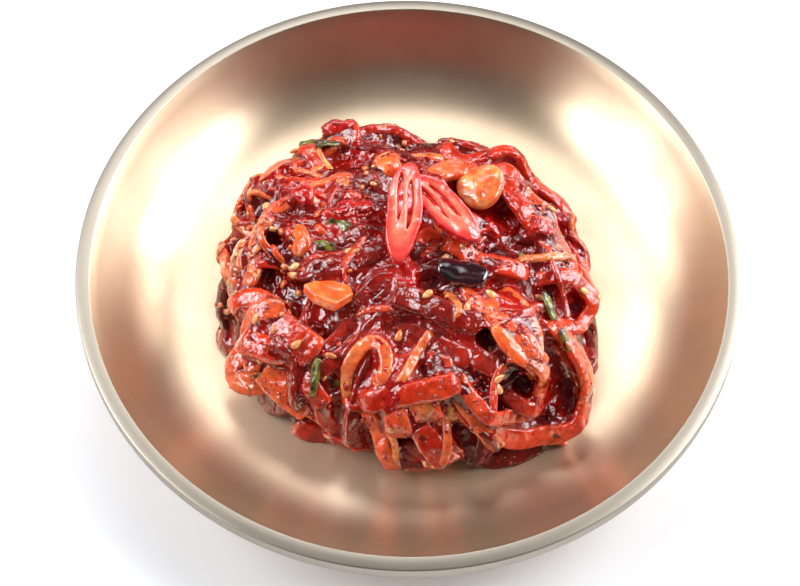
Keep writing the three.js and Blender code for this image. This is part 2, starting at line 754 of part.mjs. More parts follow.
// A hand-cut slice with seven uneven sides.
function carrotGeometry({ long, wide, thick }, grow = 0) {
  const corners = [[-1, 0.1], [-0.55, 0.72], [0.25, 1], [0.8, 0.62], [1, -0.05], [0.35, -1], [-0.5, -0.62]];
  const shape = new THREE.Shape(corners.map(([x, y]) => (
    new THREE.Vector2(x * (long / 2 + grow), y * (wide / 2 + grow))
  )));
  const bevel = grow === 0 ? 0.4 : 0;
  const geometry = new THREE.ExtrudeGeometry(shape, {
    depth: thick + 2 * grow - 2 * bevel,
    bevelEnabled: bevel > 0,
    bevelThickness: bevel,
    bevelSize: bevel,
    bevelOffset: -bevel,
    bevelSegments: 1,
  });
  return geometry.translate(0, 0, bevel - thick / 2 - grow);
}

// A thick round slice, flattened a little and not quite round.
function garlicGeometry({ long, wide, thick }, grow = 0) {
  const geometry = new THREE.SphereGeometry(1, 14, 6).rotateX(Math.PI / 2);
  const places = geometry.attributes.position;
  for (let i = 0; i < places.count; i += 1) {
    const [x, y, z] = [places.getX(i), places.getY(i), places.getZ(i)];
    const around = Math.atan2(y, x);
    const uneven = 1 + 0.06 * Math.cos(3 * around + 1);
    const flat = Math.sign(z) * Math.abs(z) ** 0.7;
    places.setX(i, x * uneven * (long / 2 + grow));
    places.setY(i, y * uneven * (wide / 2 + grow));
    places.setZ(i, flat * (thick / 2 + grow));
  }
  return geometry;
}

// A curled piece of dark skin: broad in the middle, its long edges turned down.
function darkGeometry({ long, wide, thick }, grow = 0) {
  const rings = 7;
  const points = [];
  for (let i = 0; i < rings; i += 1) {
    const along = i / (rings - 1);
    const half = (wide / 2) * (0.45 + 0.55 * Math.sin(Math.PI * along) ** 0.7) + grow;
    const x = (along - 0.5) * (long + 2 * grow);
    for (const [across, up] of [[1, -0.6], [0.72, 0.6], [0, 1], [-0.72, 0.6], [-1, -0.6], [0, -1]]) {
      points.push(new THREE.Vector3(x, across * half, up * (thick / 2 + grow)));
    }
  }
  return ringSkin(points, 6);
}

const TOPPINGS = [
  ['red_chili_slice_1', chiliGeometry, CHILI_SLICES[0], COLOURS.chili],
  ['red_chili_slice_2', chiliGeometry, CHILI_SLICES[1], COLOURS.chili],
  ['carrot_slice', carrotGeometry, CARROT_SLICE, COLOURS.carrot],
  ['garlic_slice', garlicGeometry, GARLIC_SLICE, COLOURS.garlic],
  ['dark_piece', darkGeometry, DARK_PIECE, COLOURS.darkSkin],
];

// ---- the whole ----

function build() {
  const group = new THREE.Group();
  group.add(meshOf('bronze_dish', dishGeometry(), COLOURS.bronze, 0.3, 1));
  let heap = heapSolid().subtract(dishReach());
  const placed = [];
  for (const [name, shape, sizes, colour] of TOPPINGS) {
    const room = solidOf(setDown(shape(sizes, GAP), sizes));
    heap = heap.subtract(room);
    let piece = solidOf(setDown(shape(sizes), sizes));
    placed.forEach((above) => { piece = piece.subtract(above); });
    placed.push(room);
    group.add(meshOf(name, geometryOf(mainPiece(piece)), colour, 0.25));
  }
  group.add(meshOf('kimchi_heap', geometryOf(mainPiece(heap)), COLOURS.kimchi, 0.25));
  return group;
}

export default build();
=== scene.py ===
import bmesh
import bpy
import math
import numpy as np
from collections import namedtuple
from mathutils import Matrix, Vector, noise as softNoise
from types import SimpleNamespace


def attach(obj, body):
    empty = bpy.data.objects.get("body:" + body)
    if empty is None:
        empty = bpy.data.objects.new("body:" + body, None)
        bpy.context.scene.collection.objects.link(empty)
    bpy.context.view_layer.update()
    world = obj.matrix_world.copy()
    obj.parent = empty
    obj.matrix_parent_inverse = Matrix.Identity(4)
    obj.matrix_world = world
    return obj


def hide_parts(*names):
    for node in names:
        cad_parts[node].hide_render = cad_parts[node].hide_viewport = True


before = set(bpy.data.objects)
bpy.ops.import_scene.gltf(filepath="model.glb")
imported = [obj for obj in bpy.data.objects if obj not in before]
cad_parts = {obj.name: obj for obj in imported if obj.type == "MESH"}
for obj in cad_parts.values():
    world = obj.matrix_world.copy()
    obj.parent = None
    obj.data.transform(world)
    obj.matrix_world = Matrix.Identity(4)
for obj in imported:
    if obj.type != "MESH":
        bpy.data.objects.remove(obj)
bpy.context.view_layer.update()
mm = 0.001
goldenAngle = math.pi * (3 - math.sqrt(5))


def sine(degrees):
    return math.sin(math.radians(degrees))


def cosine(degrees):
    return math.cos(math.radians(degrees))


def clamp(value, low, high):
    return max(low, min(high, value))


def unit(vector):
    return vector / max(np.linalg.norm(vector), 1e-9)


def addObject(name, data):
    made = bpy.data.objects.new(name, data)
    bpy.context.collection.objects.link(made)
    return made


# ---- camera, first, so that every look has the same framing ----

cameraView = {
    "aim": (-2.21, -8.63, 27.0),  # mm, a point level with the rim
    "distance": 600.0,
    "elevation": 59.32,
    "roll": 0.978,
    "lens": 106.58,
}


def makeCamera(view):
    rise, roll = view["elevation"], view["roll"]
    back = Vector((0, -cosine(rise), sine(rise)))
    right = Vector((1, 0, 0))
    up = back.cross(right)
    axes = Matrix((right * cosine(roll) + up * sine(roll), up * cosine(roll) - right * sine(roll), back))
    place = (Vector(view["aim"]) + back * view["distance"]) * mm
    camera = addObject("camera", bpy.data.cameras.new("camera"))
    camera.data.lens = view["lens"]
    camera.data.sensor_width = 36
    camera.data.clip_start = 0.01
    camera.matrix_world = Matrix.Translation(place) @ axes.transposed().to_4x4()
    bpy.context.scene.camera = camera


makeCamera(cameraView)
print("camera set")


# ---- small helpers for meshes ----

class Draws:
    # Random numbers from 0 to 1, the same on every run.
    def __init__(self, seed):
        self.state = seed

    def __call__(self):
        self.state = (self.state * 16807) % 2147483647
        return self.state / 2147483647

    def between(self, low, high):
        return low + (high - low) * self()

    def within(self, reach):
        return reach * (2 * self() - 1)


def makeMesh(name, points, faces, edges=()):
    mesh = bpy.data.meshes.new(name)
    mesh.from_pydata([tuple(p) for p in points], list(edges), [tuple(f) for f in faces])
    mesh.validate()
    mesh.update()
    return addObject(name, mesh)


def shadeSmooth(piece):
    piece.data.polygons.foreach_set("use_smooth", [True] * len(piece.data.polygons))
    piece.data.update()


def storeValues(mesh, name, kind, values):
    layer = mesh.attributes.new(name, kind, "POINT")
    key = "vector" if kind == "FLOAT_VECTOR" else "value"
    layer.data.foreach_set(key, np.asarray(values, dtype=np.float32).ravel())


def pointsOf(mesh):
    places = np.empty(len(mesh.vertices) * 3)
    mesh.vertices.foreach_get("co", places)
    return places.reshape(-1, 3)


def formOf(mesh):
    return pointsOf(mesh), [list(polygon.vertices) for polygon in mesh.polygons]


def evaluatedMesh(piece, name):
    # The piece with its modifiers applied, as a new plain mesh object; the old one goes.
    graph = bpy.context.evaluated_depsgraph_get()
    evaluated = piece.evaluated_get(graph)
    mesh = bpy.data.meshes.new_from_object(evaluated, preserve_all_data_layers=True, depsgraph=graph)
    bpy.data.objects.remove(piece)
    mesh.name = name
    return addObject(name, mesh)


def ringFaces(rings, sides, capped=True):
    faces = []
    for ring in range(rings - 1):
        for k in range(sides):
            a, b = ring * sides + k, ring * sides + (k + 1) % sides
            faces.append((a, b, b + sides, a + sides))
    if capped:
        faces.append(tuple(reversed(range(sides))))
        faces.append(tuple(range((rings - 1) * sides, rings * sides)))
    return faces


def faceOutward(piece):
    mesh, points = piece.data, pointsOf(piece.data)
    mesh.calc_loop_triangles()
    corners = np.empty(len(mesh.loop_triangles) * 3, dtype=np.int64)
    mesh.loop_triangles.foreach_get("vertices", corners)
    a, b, c = (points[corners.reshape(-1, 3)[:, k]] for k in range(3))
    if np.einsum("ij,ij->i", a, np.cross(b, c)).sum() < 0:
        mesh.flip_normals()


def joinedForms(forms):
    # Joins forms, each of points and faces, into one.
    points, faces = [], []
    for formPoints, formFaces in forms:
        first = len(points)
        points += list(formPoints)
        faces += [[first + k for k in face] for face in formFaces]
    return points, faces


def dress(piece, node, material=None):
    if material is not None:
        piece.data.materials.append(material)
    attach(piece, "root")
    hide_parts(node)


# ---- small helpers for node trees ----

class Wire:
    # A node's output. Arithmetic on it adds Math nodes to its tree.
    def __init__(self, socket):
        self.socket = socket
        self.tree = socket.id_data

    def __add__(self, other):
        return maths("ADD", self, other)

    def __sub__(self, other):
        return maths("SUBTRACT", self, other)

    def __rsub__(self, other):
        return maths("SUBTRACT", other, self)

    def __mul__(self, other):
        return maths("MULTIPLY", self, other)


def feed(socket, value):
    if isinstance(value, Wire):
        value.tree.links.new(value.socket, socket)
    else:
        socket.default_value = value


def addNode(tree, kind, feeds=(), **settings):
    made = tree.nodes.new(kind)
    for key, value in settings.items():
        setattr(made, key, value)
    for key, value in dict(feeds).items():
        if value is not None:
            feed(made.inputs[key], value)
    return made


def wire(tree, kind, feeds=(), output=0, **settings):
    return Wire(addNode(tree, kind, feeds, **settings).outputs[output])


def treeOf(*values):
    return next(value.tree for value in values if isinstance(value, Wire))


def maths(operation, a, b=None, clampIt=False):
    return wire(treeOf(a, b), "ShaderNodeMath", {0: a, 1: b}, operation=operation, use_clamp=clampIt)


def vectorMaths(operation, a, b=None, scale=None):
    output = "Value" if operation in ("LENGTH", "DOT_PRODUCT") else "Vector"
    return wire(a.tree, "ShaderNodeVectorMath", {0: a, 1: b, "Scale": scale}, output, operation=operation)


def parted(vector):
    return [Wire(socket) for socket in addNode(vector.tree, "ShaderNodeSeparateXYZ", {0: vector}).outputs]


def combined(**parts):
    return wire(treeOf(*parts.values()), "ShaderNodeCombineXYZ", parts)


def ranged(value, low, high, newLow=0.0, newHigh=1.0, smooth=False):
    feeds = {"Value": value, "From Min": low, "From Max": high, "To Min": newLow, "To Max": newHigh}
    kind = "SMOOTHSTEP" if smooth else "LINEAR"
    return wire(value.tree, "ShaderNodeMapRange", feeds, interpolation_type=kind)


def noise(vector, scale, detail=2.0, roughness=0.5, distortion=0.0, output="Fac"):
    feeds = {"Vector": vector, "Scale": scale, "Detail": detail}
    feeds.update({"Roughness": roughness, "Distortion": distortion})
    return wire(vector.tree, "ShaderNodeTexNoise", feeds, output)


def mixColours(share, a, b, blend="MIX"):
    tree = treeOf(share, a, b)
    made = addNode(tree, "ShaderNodeMix", {"Factor": share}, data_type="RGBA", blend_type=blend)
    for socket, value in zip([s for s in made.inputs if s.type == "RGBA"], (a, b)):
        feed(socket, value)
    return Wire([s for s in made.outputs if s.type == "RGBA"][0])


def ramp(value, stops):
    made = addNode(value.tree, "ShaderNodeValToRGB", {"Fac": value})
    elements = made.color_ramp.elements
    while len(elements) < len(stops):
        elements.new(0.5)
    for element, (at, stopColour) in zip(elements, stops):
        element.position = at
        element.color = stopColour
    return Wire(made.outputs["Color"])


def colour(red, green, blue):
    # 0 to 255 as seen, to the linear values that Blender's sockets take.
    def one(v):
        v = v / 255
        return v / 12.92 if v <= 0.04045 else ((v + 0.055) / 1.055) ** 2.4
    return (one(red), one(green), one(blue), 1.0)


def newGroup(kind, name, inputs, outputs):
    # A node group with named sockets. Returns it, its inputs as wires, and the sockets of its outputs.
    tree = bpy.data.node_groups.new(name, kind)
    for key, (socketKind, value) in inputs.items():
        socket = tree.interface.new_socket(name=key, in_out="INPUT", socket_type="NodeSocket" + socketKind)
        if value is not None:
            socket.default_value = value
    for key, socketKind in outputs.items():
        tree.interface.new_socket(name=key, in_out="OUTPUT", socket_type="NodeSocket" + socketKind)
    given = {socket.name: Wire(socket) for socket in addNode(tree, "NodeGroupInput").outputs if socket.name}
    return tree, given, addNode(tree, "NodeGroupOutput").inputs


# ---- the mound's even shape, its map, and how strips are laid one over another ----
# Right and away are millimetres on a map whose middle is the mound's top.

mound = {
    "centre": (0.0, -1.8, 14.0),
    "height": 30.2,
    "under": 14.0,
    "radius": 50.2,
    "outline": ((1, 0, -1.2), (2, 1.9, -3), (3, -0.7, -1), (4, -1.5, 0.8)),  # waves round, mm right and away
    "upperPower": 2.3,
    "lowerPower": 3.5,
    "coreDepth": 5.0,
    "mapRadius": 42.0,
    "mapHalf": 100,
}
laying = {
    "step": 2.0,
    "sink": 0.7,
    "sag": 0.25,
    "passes": 40,
    "lean": 38.0,
    "endTuck": 1.6,
    "endLength": 6.0,
    "highest": 2.5,
    "fillHighest": -3.2,
    "skirtHighest": -1.0,
    "gap": 0.3,
}
dishForm = {
    "rimRadius": 85.0,
    "lipInnerRadius": 81.2,
    "height": 27.0,
    "lipFall": 0.5,
    "lipDepth": 4.0,
    "wall": 2.4,
    "floorRadius": 56.0,
    "floorSlope": 3.5,
    "bendRadius": 26.0,
    "bendSlope": 48.0,
    "wallSlope": 58.0,
    "footRadius": 46.0,
    "footWidth": 4.0,
    "footHeight": 3.5,
    "turns": 216,
    "wallSteps": 44,
}

# The inner face: a nearly flat floor, a bend up to the wall, and a wall that curves gently to the lip.
floorRadius, bendRadius = dishForm["floorRadius"], dishForm["bendRadius"]
floorSlope, bendSlope, wallSlope = dishForm["floorSlope"], dishForm["bendSlope"], dishForm["wallSlope"]
bendEnd = floorRadius + bendRadius * (sine(bendSlope) - sine(floorSlope))
wallRadius = (dishForm["lipInnerRadius"] - bendEnd) / (sine(wallSlope) - sine(bendSlope))
bendTop = dishForm["height"] - wallRadius * (cosine(bendSlope) - cosine(wallSlope))
floorEnd = bendTop - bendRadius * (cosine(floorSlope) - cosine(bendSlope))
floorRise = floorRadius * math.tan(math.radians(floorSlope)) / 2


def wallPoint(slope, offset=0):
    # A point of the inner face by its slope, moved off it along its normal.
    if slope <= bendSlope:
        radius = floorRadius + bendRadius * (sine(slope) - sine(floorSlope))
        height = floorEnd + bendRadius * (cosine(floorSlope) - cosine(slope))
    else:
        radius = bendEnd + wallRadius * (sine(slope) - sine(bendSlope))
        height = bendTop + wallRadius * (cosine(bendSlope) - cosine(slope))
    return radius - offset * sine(slope), height + offset * cosine(slope)


def floorHeight(radius):
    if radius <= floorRadius:
        return floorEnd - floorRise + floorRise * (radius / floorRadius) ** 2
    if radius <= bendEnd:
        slopeSine = sine(floorSlope) + (radius - floorRadius) / bendRadius
    else:
        slopeSine = sine(bendSlope) + (radius - bendEnd) / wallRadius
    return wallPoint(math.degrees(math.asin(min(slopeSine, 0.9))))[1]


def mapDirection(right, away):
    polar = math.hypot(right, away) / mound["mapRadius"]
    around = math.atan2(away, right)
    return np.array((math.sin(polar) * math.cos(around), math.sin(polar) * math.sin(around), math.cos(polar)))


def moundRadius(direction):
    around = math.atan2(direction[1], direction[0])
    plan = mound["radius"]
    for waves, right, away in mound["outline"]:
        plan += right * math.cos(waves * around) + away * math.sin(waves * around)
    power = mound["upperPower"] if direction[2] >= 0 else mound["lowerPower"]
    tall = mound["height"] if direction[2] >= 0 else mound["under"]
    flat = math.hypot(direction[0], direction[1])
    return ((flat / plan) ** power + (abs(direction[2]) / tall) ** power) ** (-1 / power)


mapHalf = mound["mapHalf"]
mapSide = 2 * mapHalf + 1
moundCentre = np.array(mound["centre"])
laid = [moundRadius(mapDirection(column, row)) - mound["coreDepth"]
        for row in range(-mapHalf, mapHalf + 1) for column in range(-mapHalf, mapHalf + 1)]


def mapCell(direction):
    polar = math.acos(clamp(direction[2] / np.linalg.norm(direction), -1, 1))
    around = math.atan2(direction[1], direction[0])
    column, row = (clamp(math.floor(polar * mound["mapRadius"] * share + 0.5) + mapHalf, 0, mapSide - 1)
                   for share in (math.cos(around), math.sin(around)))
    return row * mapSide + column


Strip = namedtuple("Strip", "start heading long turns wide thick roll highest tone stand", defaults=(0,))


def stripRoute(strip, count):
    right, away = strip.start
    places, step, along = [(right, away)], strip.long / count, math.radians(strip.heading)
    for i in range(count):
        bend = math.radians(strip.turns[0 if i < count / 2 else 1]) / (count / 2)
        right += math.cos(along + bend / 2) * step
        away += math.sin(along + bend / 2) * step
        along += bend
        places.append((right, away))
    return places


def clearRadius(section):
    reach, clear = moundRadius(section.direction), 0.0
    for across in (-1, -0.5, 0, 0.5, 1):
        probe = section.direction * reach + section.side * (across * section.halfWide)
        clear = max(clear, laid[mapCell(probe)] + section.halfThick * math.sqrt(1 - 0.8 * across * across))
    return clear - laying["sink"]


def settle(clear, limit, step, stand):
    radius = list(clear)
    last = len(clear) - 1
    for _ in range(laying["passes"]):
        between = [(radius[i - 1] + radius[i + 1]) / 2 - laying["sag"] for i in range(1, last)]
        radius[1:last] = [max(low, held) for low, held in zip(clear[1:last], between)]
    fitted = []
    for i in range(last + 1):
        smooth = (radius[max(i - 1, 0)] + 2 * radius[i] + radius[min(i + 1, last)]) / 4
        fromEnd = min(i, last - i) * step
        tuck = (laying["endTuck"] + stand / 2) * max(0, 1 - fromEnd / laying["endLength"]) ** 2
        fitted.append(min(smooth, limit[i]) - tuck)
    return fitted


def layStrip(strip):
    # Fits a strip to what lies below, raises the map by it and gives its sections.
    count = max(6, 2 * math.floor(strip.long / laying["step"] / 2 + 0.5))
    directions = [mapDirection(*place) for place in stripRoute(strip, count)]
    wide, thick = strip.wide / 2, strip.thick / 2
    sections = []
    for i, direction in enumerate(directions):
        side = unit(np.cross(direction, directions[min(i + 1, count)] - directions[max(i - 1, 0)]))
        twist = strip.roll[0] + (strip.roll[1] - strip.roll[0]) * i / count
        roll = math.radians(twist - laying["lean"] * side[2])
        sections.append(SimpleNamespace(
            direction=direction, side=side, roll=roll,
            halfWide=math.hypot(wide * math.cos(roll), thick * math.sin(roll)),
            halfThick=math.hypot(wide * math.sin(roll), thick * math.cos(roll)),
        ))
    clear = [clearRadius(section) for section in sections]
    limit = [moundRadius(direction) + strip.highest for direction in directions]
    radius = settle(clear, limit, strip.long / count, strip.stand)
    for i, section in enumerate(sections):
        stand = strip.stand * math.sqrt(max(0, math.sin(math.pi * i / count)))
        section.centre = section.direction * (radius[i] + stand) + moundCentre
        lowest = floorHeight(math.hypot(*section.centre[:2])) + section.halfThick + laying["gap"]
        section.centre[2] = max(section.centre[2], lowest)
    raiseMap(sections)
    return sections


def raiseMap(sections):
    fine = 3
    for a, b in zip(sections, sections[1:]):
        for share in (part / fine for part in range(fine)):
            centre = a.centre + (b.centre - a.centre) * share - moundCentre
            radius = np.linalg.norm(centre)
            halfWide = a.halfWide + (b.halfWide - a.halfWide) * share
            halfThick = a.halfThick + (b.halfThick - a.halfThick) * share
            reach = math.ceil(halfWide / 0.8)
            for across in (k / reach for k in range(-reach, reach + 1)):
                cell = mapCell(centre + a.side * (across * halfWide))
                laid[cell] = max(laid[cell], radius + halfThick * math.sqrt(max(0, 1 - across * across)))


def behind(right, away, heading, reach):
    return right - reach * cosine(heading), away - reach * sine(heading)


def spiralPlace(settings, k, extra=0.0, middle=(0, 0)):
    # Place k of a spiral that fills a round patch evenly.
    out = settings["reach"] * math.sqrt((k + 0.5) / settings["count"])
    around = k * goldenAngle + extra
    return middle[0] + out * math.cos(around), middle[1] + out * math.sin(around), around


fillStrips = {
    "seed": 71, "count": 34, "reach": 74, "stray": 55,
    "long": (40, 58), "wide": (4, 6.2), "turn": (15, 70), "thick": 2.6,
}
skirtStrips = {
    "seed": 12,
    "wide": (4.4, 6.4),
    "thick": 2.6,
    "tilt": 14,
    "rows": ((72, 0, 360, 9), (62, 15, 165, 4), (49, 35, 150, 3)),  # out, from, to, count
}


def fillRows(settings):
    draw = Draws(settings["seed"])
    for k in range(settings["count"]):
        right, away, around = spiralPlace(settings, k)
        heading = math.degrees(around) + 90 + draw.within(settings["stray"])
        long, bend, wide = (draw.between(*settings[key]) for key in ("long", "turn", "wide"))
        start = behind(right, away, heading, long / 2)
        yield Strip(start, heading - bend, long, (bend, bend), wide, settings["thick"], (0, 20),
                    laying["fillHighest"], 0.1)


def skirtRows(settings):
    draw = Draws(settings["seed"])
    for out, first, last, count in settings["rows"]:
        for k in range(count):
            around = first + (last - first) * (k + 0.5) / count + draw.within(8)
            place = out + draw.within(3)
            long = (last - first) / count * math.radians(1) * place * 1.15
            tilt = draw.within(settings["tilt"])
            bend = math.degrees(long / place) * 0.8
            wide = draw.between(*settings["wide"])
            heading = around + 90 + tilt
            start = behind(place * cosine(around), place * sine(around), heading, long / 2)
            tone = 0.25 + 0.3 * ((k * 7) % 5) / 4
            yield Strip(start, heading - bend / 2, long, (bend / 2, bend / 2), wide, settings["thick"],
                        (0, 25), laying["skirtHighest"], tone)


# Strips that show, in the order they were laid: name; start, right and away on the map; heading; length;
# turn in the first and the second half; width; roll at both ends; how far it stands off; and tone, from 0,
# dark with soy, to 1, pale.
topStrips = (
    ("left end", -52, -27, -165, 17, 121, 17, 6.4, 0, 0, 3, 0.7),
    ("dark base", -13, -66, 8, 32, 4, 8, 9, 0, 10, 0.8, 0.2),
    ("left maroon", -15, -49, -127, 22, 31, 3, 4.4, 20, 0, 2.2, 0.3),
    ("low flap", -36.5, -38.5, -60, 21, 8, 2, 5, 0, 10, -1, 0.75),
    ("corner end", 45, -47, -8, 18, 25, 63, 5.4, 0, 0, 2, 0.52),
    ("beside hairpin", -19, -67, 82, 34, -5, -28, 3.8, 30, 50, 0, 0.22),
    ("low left", -26, -68, 89, 28, 0, 23, 4.8, 10, 40, 0, 0.5),
    ("brown flap", -8, -56, 22, 20, 14, 11, 6.6, 0, 15, 2, 0.8),
    ("left arc low", -58, 24, -100, 40, 29, -3, 3.8, 0, 30, 1.5, 0.76),
    ("left curl", -52, -18, 62, 20, -91, -34, 4.8, 0, 0, 2.5, 0.66),
    ("left arc high", -54, 15, 88, 27, -85, -26, 4.2, 0, 20, 0.5, 0.8),
    ("left arc outer", -49, -10, 87, 33, -21, -36, 4.2, 25, 0, 0, 0.74),
    ("left arc inner", -45, -12, 90, 29, -15, -34, 3.8, 0, 30, 0, 0.84),
    ("top left", -29, 33, 123, 31, -83, -155, 4.2, 0, 30, 1, 0.5),
    ("top right", 10, 46, -55, 32, 48, 32, 4.2, 20, 0, 0, 0.4),
    ("arm inner", 28, 27, -69, 40, 14, -25, 6.2, 0, -15, 0, 0.45),
    ("arm middle", 25, 28, -8, 52, -64, -8, 4.8, 15, -20, 0, 0.56),
    ("arm outer", 24, 36, 6, 70, -69, -56, 4.6, -10, 25, 0.5, 0.5),
    ("right curl", 40, -10, 56, 32, -144, -122, 4.2, 0, 20, 1, 0.56),
    ("narrow flat", 30, -17, -58, 20, -28, -18, 6, 0, 20, 0, 0.78),
    ("broad flat", 21, -13, -85, 28, 29, 33, 7.4, -10, 10, 0, 0.72),
    ("right low", 38, -23, -27, 30, -30, -113, 4.2, 30, 0, 0.5, 0.6),
    ("outer arc", 15, -46.5, -47, 60, 88, 106, 5.4, 0, 30, 0.8, 0.62),
    ("low red", 6, -46, -66, 19, 8, 26, 3.8, 0, 20, 0, 0.58),
    ("pale flap", 13.5, -45.5, -38, 19, 4, 3, 3.8, 0, 20, 0.8, 0.82),
    ("bottom base", -7, -75, -6, 28, 36, 10, 4.6, 0, 10, 0.5, 0.68),
    ("dark petal", 3, -53, -47, 15, 10, 0, 7, 0, 15, 0.5, 0.42),
    ("petal", -4, -47, -72, 10, -5, 0, 6.4, 0, 10, 0.5, 0.6),
    ("bottom end", -12.5, -50, -68, 27, 10, -6, 4.4, 10, 20, 0.5, 0.68),
    ("centre right", 6, -30, 1, 22, -45, 59, 5.2, 0, 0, 0, 0.24),
    ("centre low", -8, -33, -10, 27, 3, -8, 5.8, 10, 0, 0, 0.2),
    ("dark ring", 13, -40, -60, 44, 85, 181, 4.2, 0, 30, 1, 0.66),
    ("fan 2", -29, -40, 48, 35, -9, -11, 4.4, 35, 10, 0, 0.18),
    ("fan 3", -29, -41, 21, 35, 15, -1, 4.2, 10, 30, 0, 0.22),
    ("fan 4", -20, -40, 47, 29, -5, -17, 4.8, 20, 0, 0, 0.16),
    ("centre high", -5, -22, -14, 27, -4, 13, 6.2, 0, 10, 0, 0.1),
    ("upper bar", -9, -44, 28, 24, -17, -22, 4.4, 15, 0, 0, 0.55),
    ("red bar", -14, -48, 4, 29, 10, 7, 6.2, 0, 10, 0, 0.48),
    ("hairpin", -18, -49, 114, 32, -88, -197, 3.4, 0, 0, 0, 0.84),
    ("broad red", -43, -22, -19, 22, -26, -4, 9, 0, 15, 0, 0.58),
    ("broad low", -42.5, -34, -62, 20, 13, 9, 8.4, 10, 0, -1, 0.76),
    ("left ribbon", -42, -35, 136, 24, -67, -118, 4.8, 20, 0, 0, 0.78),
    ("mid left low", -39, 4, 20, 33, -42, 37, 5.4, 0, 10, 0, 0.1),
    ("mid left high", -39, 15, 24, 33, -44, -6, 4.8, 10, 0, 0, 0.2),
    ("shoulder", -37, 22, 48, 23, -92, 15, 4.4, 0, 20, 0, 0.45),
    ("top dark", -34, 28, 9, 30, -28, -12, 4.4, 15, 0, 0, 0.06),
    ("top chunk", 8, 26, 56, 15, -47, -60, 6.2, 0, 0, 0, 0.78),
    ("red over left", -39, -7, -15, 33, 34, -16, 3.8, 20, 0, 0, 0.36),
    ("fan 1", -22, -28, 47, 29, -11, -8, 4.2, 10, 30, 0, 0.16),
    ("dark over left", -40, -8, -28, 40, 44, 11, 5.4, 0, 15, 0, 0.04),
    ("beside garlic", 5, 25, -34, 29, -21, 51, 4.8, 0, 15, 0, 0.2),
    ("under chili", 4, 6, -43, 38, 20, 15, 5, 15, 0, 0, 0.56),
)


def topRows(rows):
    for name, right, away, heading, long, first, second, wide, rollA, rollB, stand, tone in rows:
        thick = clamp(0.45 * wide, 1.8, 3)
        yield Strip((right, away), heading, long, (first, second), wide, thick, (rollA, rollB),
                    laying["highest"], tone, stand)


# Thin shreds between and over the strips, more of them on the left and at the top, and fine ones in a drift
# on the left shoulder.
shreds = {
    "seed": 33, "count": 46, "reach": 66, "middle": (0, 0),
    "long": (9, 24), "wide": (1.3, 2.6), "thick": (0.9, 1.5), "darkest": 0,
}
fineShreds = {
    "seed": 57, "count": 120, "reach": 25, "middle": (-45, 18),
    "long": (2.5, 8), "wide": (1.1, 2.4), "thick": (0.7, 1.4), "darkest": 0.4,
}
# Loose flaps: start, right and away; heading; length; turn in each half; width; thickness; and tone.
looseFlaps = (
    (-46, -24, -42, 15, 8, 4, 7.4, 1.5, 0.6),
    (-30, -38, -66, 12, 10, 0, 5, 1.3, 0.5),
    (-47, 8, -84, 15, -14, 10, 3.4, 1.3, 0.9),
    (-41, 24, -150, 13, 20, 14, 3.2, 1.2, 0.7),
    (28, -43, -20, 12, 30, 24, 4, 1.2, 0.5),
)


def shredRows(settings):
    draw = Draws(settings["seed"])
    for k in range(settings["count"]):
        right, away, around = spiralPlace(settings, k, draw.within(0.3), settings["middle"])
        long, wide, thick = (draw.between(*settings[key]) for key in ("long", "wide", "thick"))
        heading = math.degrees(around) + 90 + draw.within(60)
        start = behind(right, away, heading, long / 2)
        turns = (draw.within(70), draw.within(70))
        yield Strip(start, heading, long, turns, wide, thick, (0, 30 * draw()), laying["highest"] + 0.6,
                    draw.between(settings["darkest"], 1))


def flapRows(rows):
    for right, away, heading, long, first, second, wide, thick, tone in rows:
        yield Strip((right, away), heading, long, (first, second), wide, thick, (0, 12),
                    laying["highest"], tone)


# ---- strips swept along their routes ----

sweep = {
    "Step": 0.0009, "Corners": 16, "Squareness": 0.62, "End rounding": 0.0016,
    "Wobble": 0.0003, "Fine wobble": 0.00012,
}


def stripPaths(name, laidStrips):
    # One object of edges: a point for each section, with the frame it is swept in.
    points, edges = [], []
    store = {key: [] for key in ("acrossWay", "upWay", "halfWide", "halfThick", "tone", "strand")}
    for number, (strip, sections) in enumerate(laidStrips):
        centres = np.array([section.centre for section in sections])
        first = len(points)
        for i, section in enumerate(sections):
            along = unit(centres[min(i + 1, len(centres) - 1)] - centres[max(i - 1, 0)])
            side = unit(np.cross(section.direction, along))
            out = np.cross(along, side)
            turnCosine, turnSine = math.cos(section.roll), math.sin(section.roll)
            points.append(centres[i] * mm)
            values = (side * turnCosine + out * turnSine, out * turnCosine - side * turnSine,
                      strip.wide / 2 * mm, strip.thick / 2 * mm, strip.tone, float(number))
            for key, value in zip(store, values):
                store[key].append(value)
        edges += [(k, k + 1) for k in range(first, len(points) - 1)]
    piece = makeMesh(name, points, (), edges)
    for key, values in store.items():
        storeValues(piece.data, key, "FLOAT_VECTOR" if key.endswith("Way") else "FLOAT", values)
    return piece


def namedValue(tree, name, kind="FLOAT"):
    return wire(tree, "GeometryNodeInputNamedAttribute", {"Name": name}, "Attribute", data_type=kind)


def storeNamed(geometry, name, value, kind="FLOAT"):
    feeds = {"Geometry": geometry, "Name": name, "Value": value}
    return wire(geometry.tree, "GeometryNodeStoreNamedAttribute", feeds, data_type=kind, domain="POINT")


def newShapeTree(name, sizes):
    sockets = {"Geometry": ("Geometry", None), **sizes, "Material": ("Material", None)}
    tree, given, result = newGroup("GeometryNodeTree", name, sockets, {"Geometry": "Geometry"})
    tree.is_modifier = True
    return tree, given, result["Geometry"]


def applyShapeTree(piece, tree, values):
    modifier = piece.modifiers.new(tree.name, "NODES")
    modifier.node_group = tree
    for item in tree.interface.items_tree:
        if item.item_type == "SOCKET" and item.in_out == "INPUT" and item.name in values:
            modifier[item.identifier] = values[item.name]


def closeTree(geometry, material, output):
    realized = wire(geometry.tree, "GeometryNodeRealizeInstances", {0: geometry})
    feed(output, wire(geometry.tree, "GeometryNodeSetMaterial", {"Geometry": realized, "Material": material}))


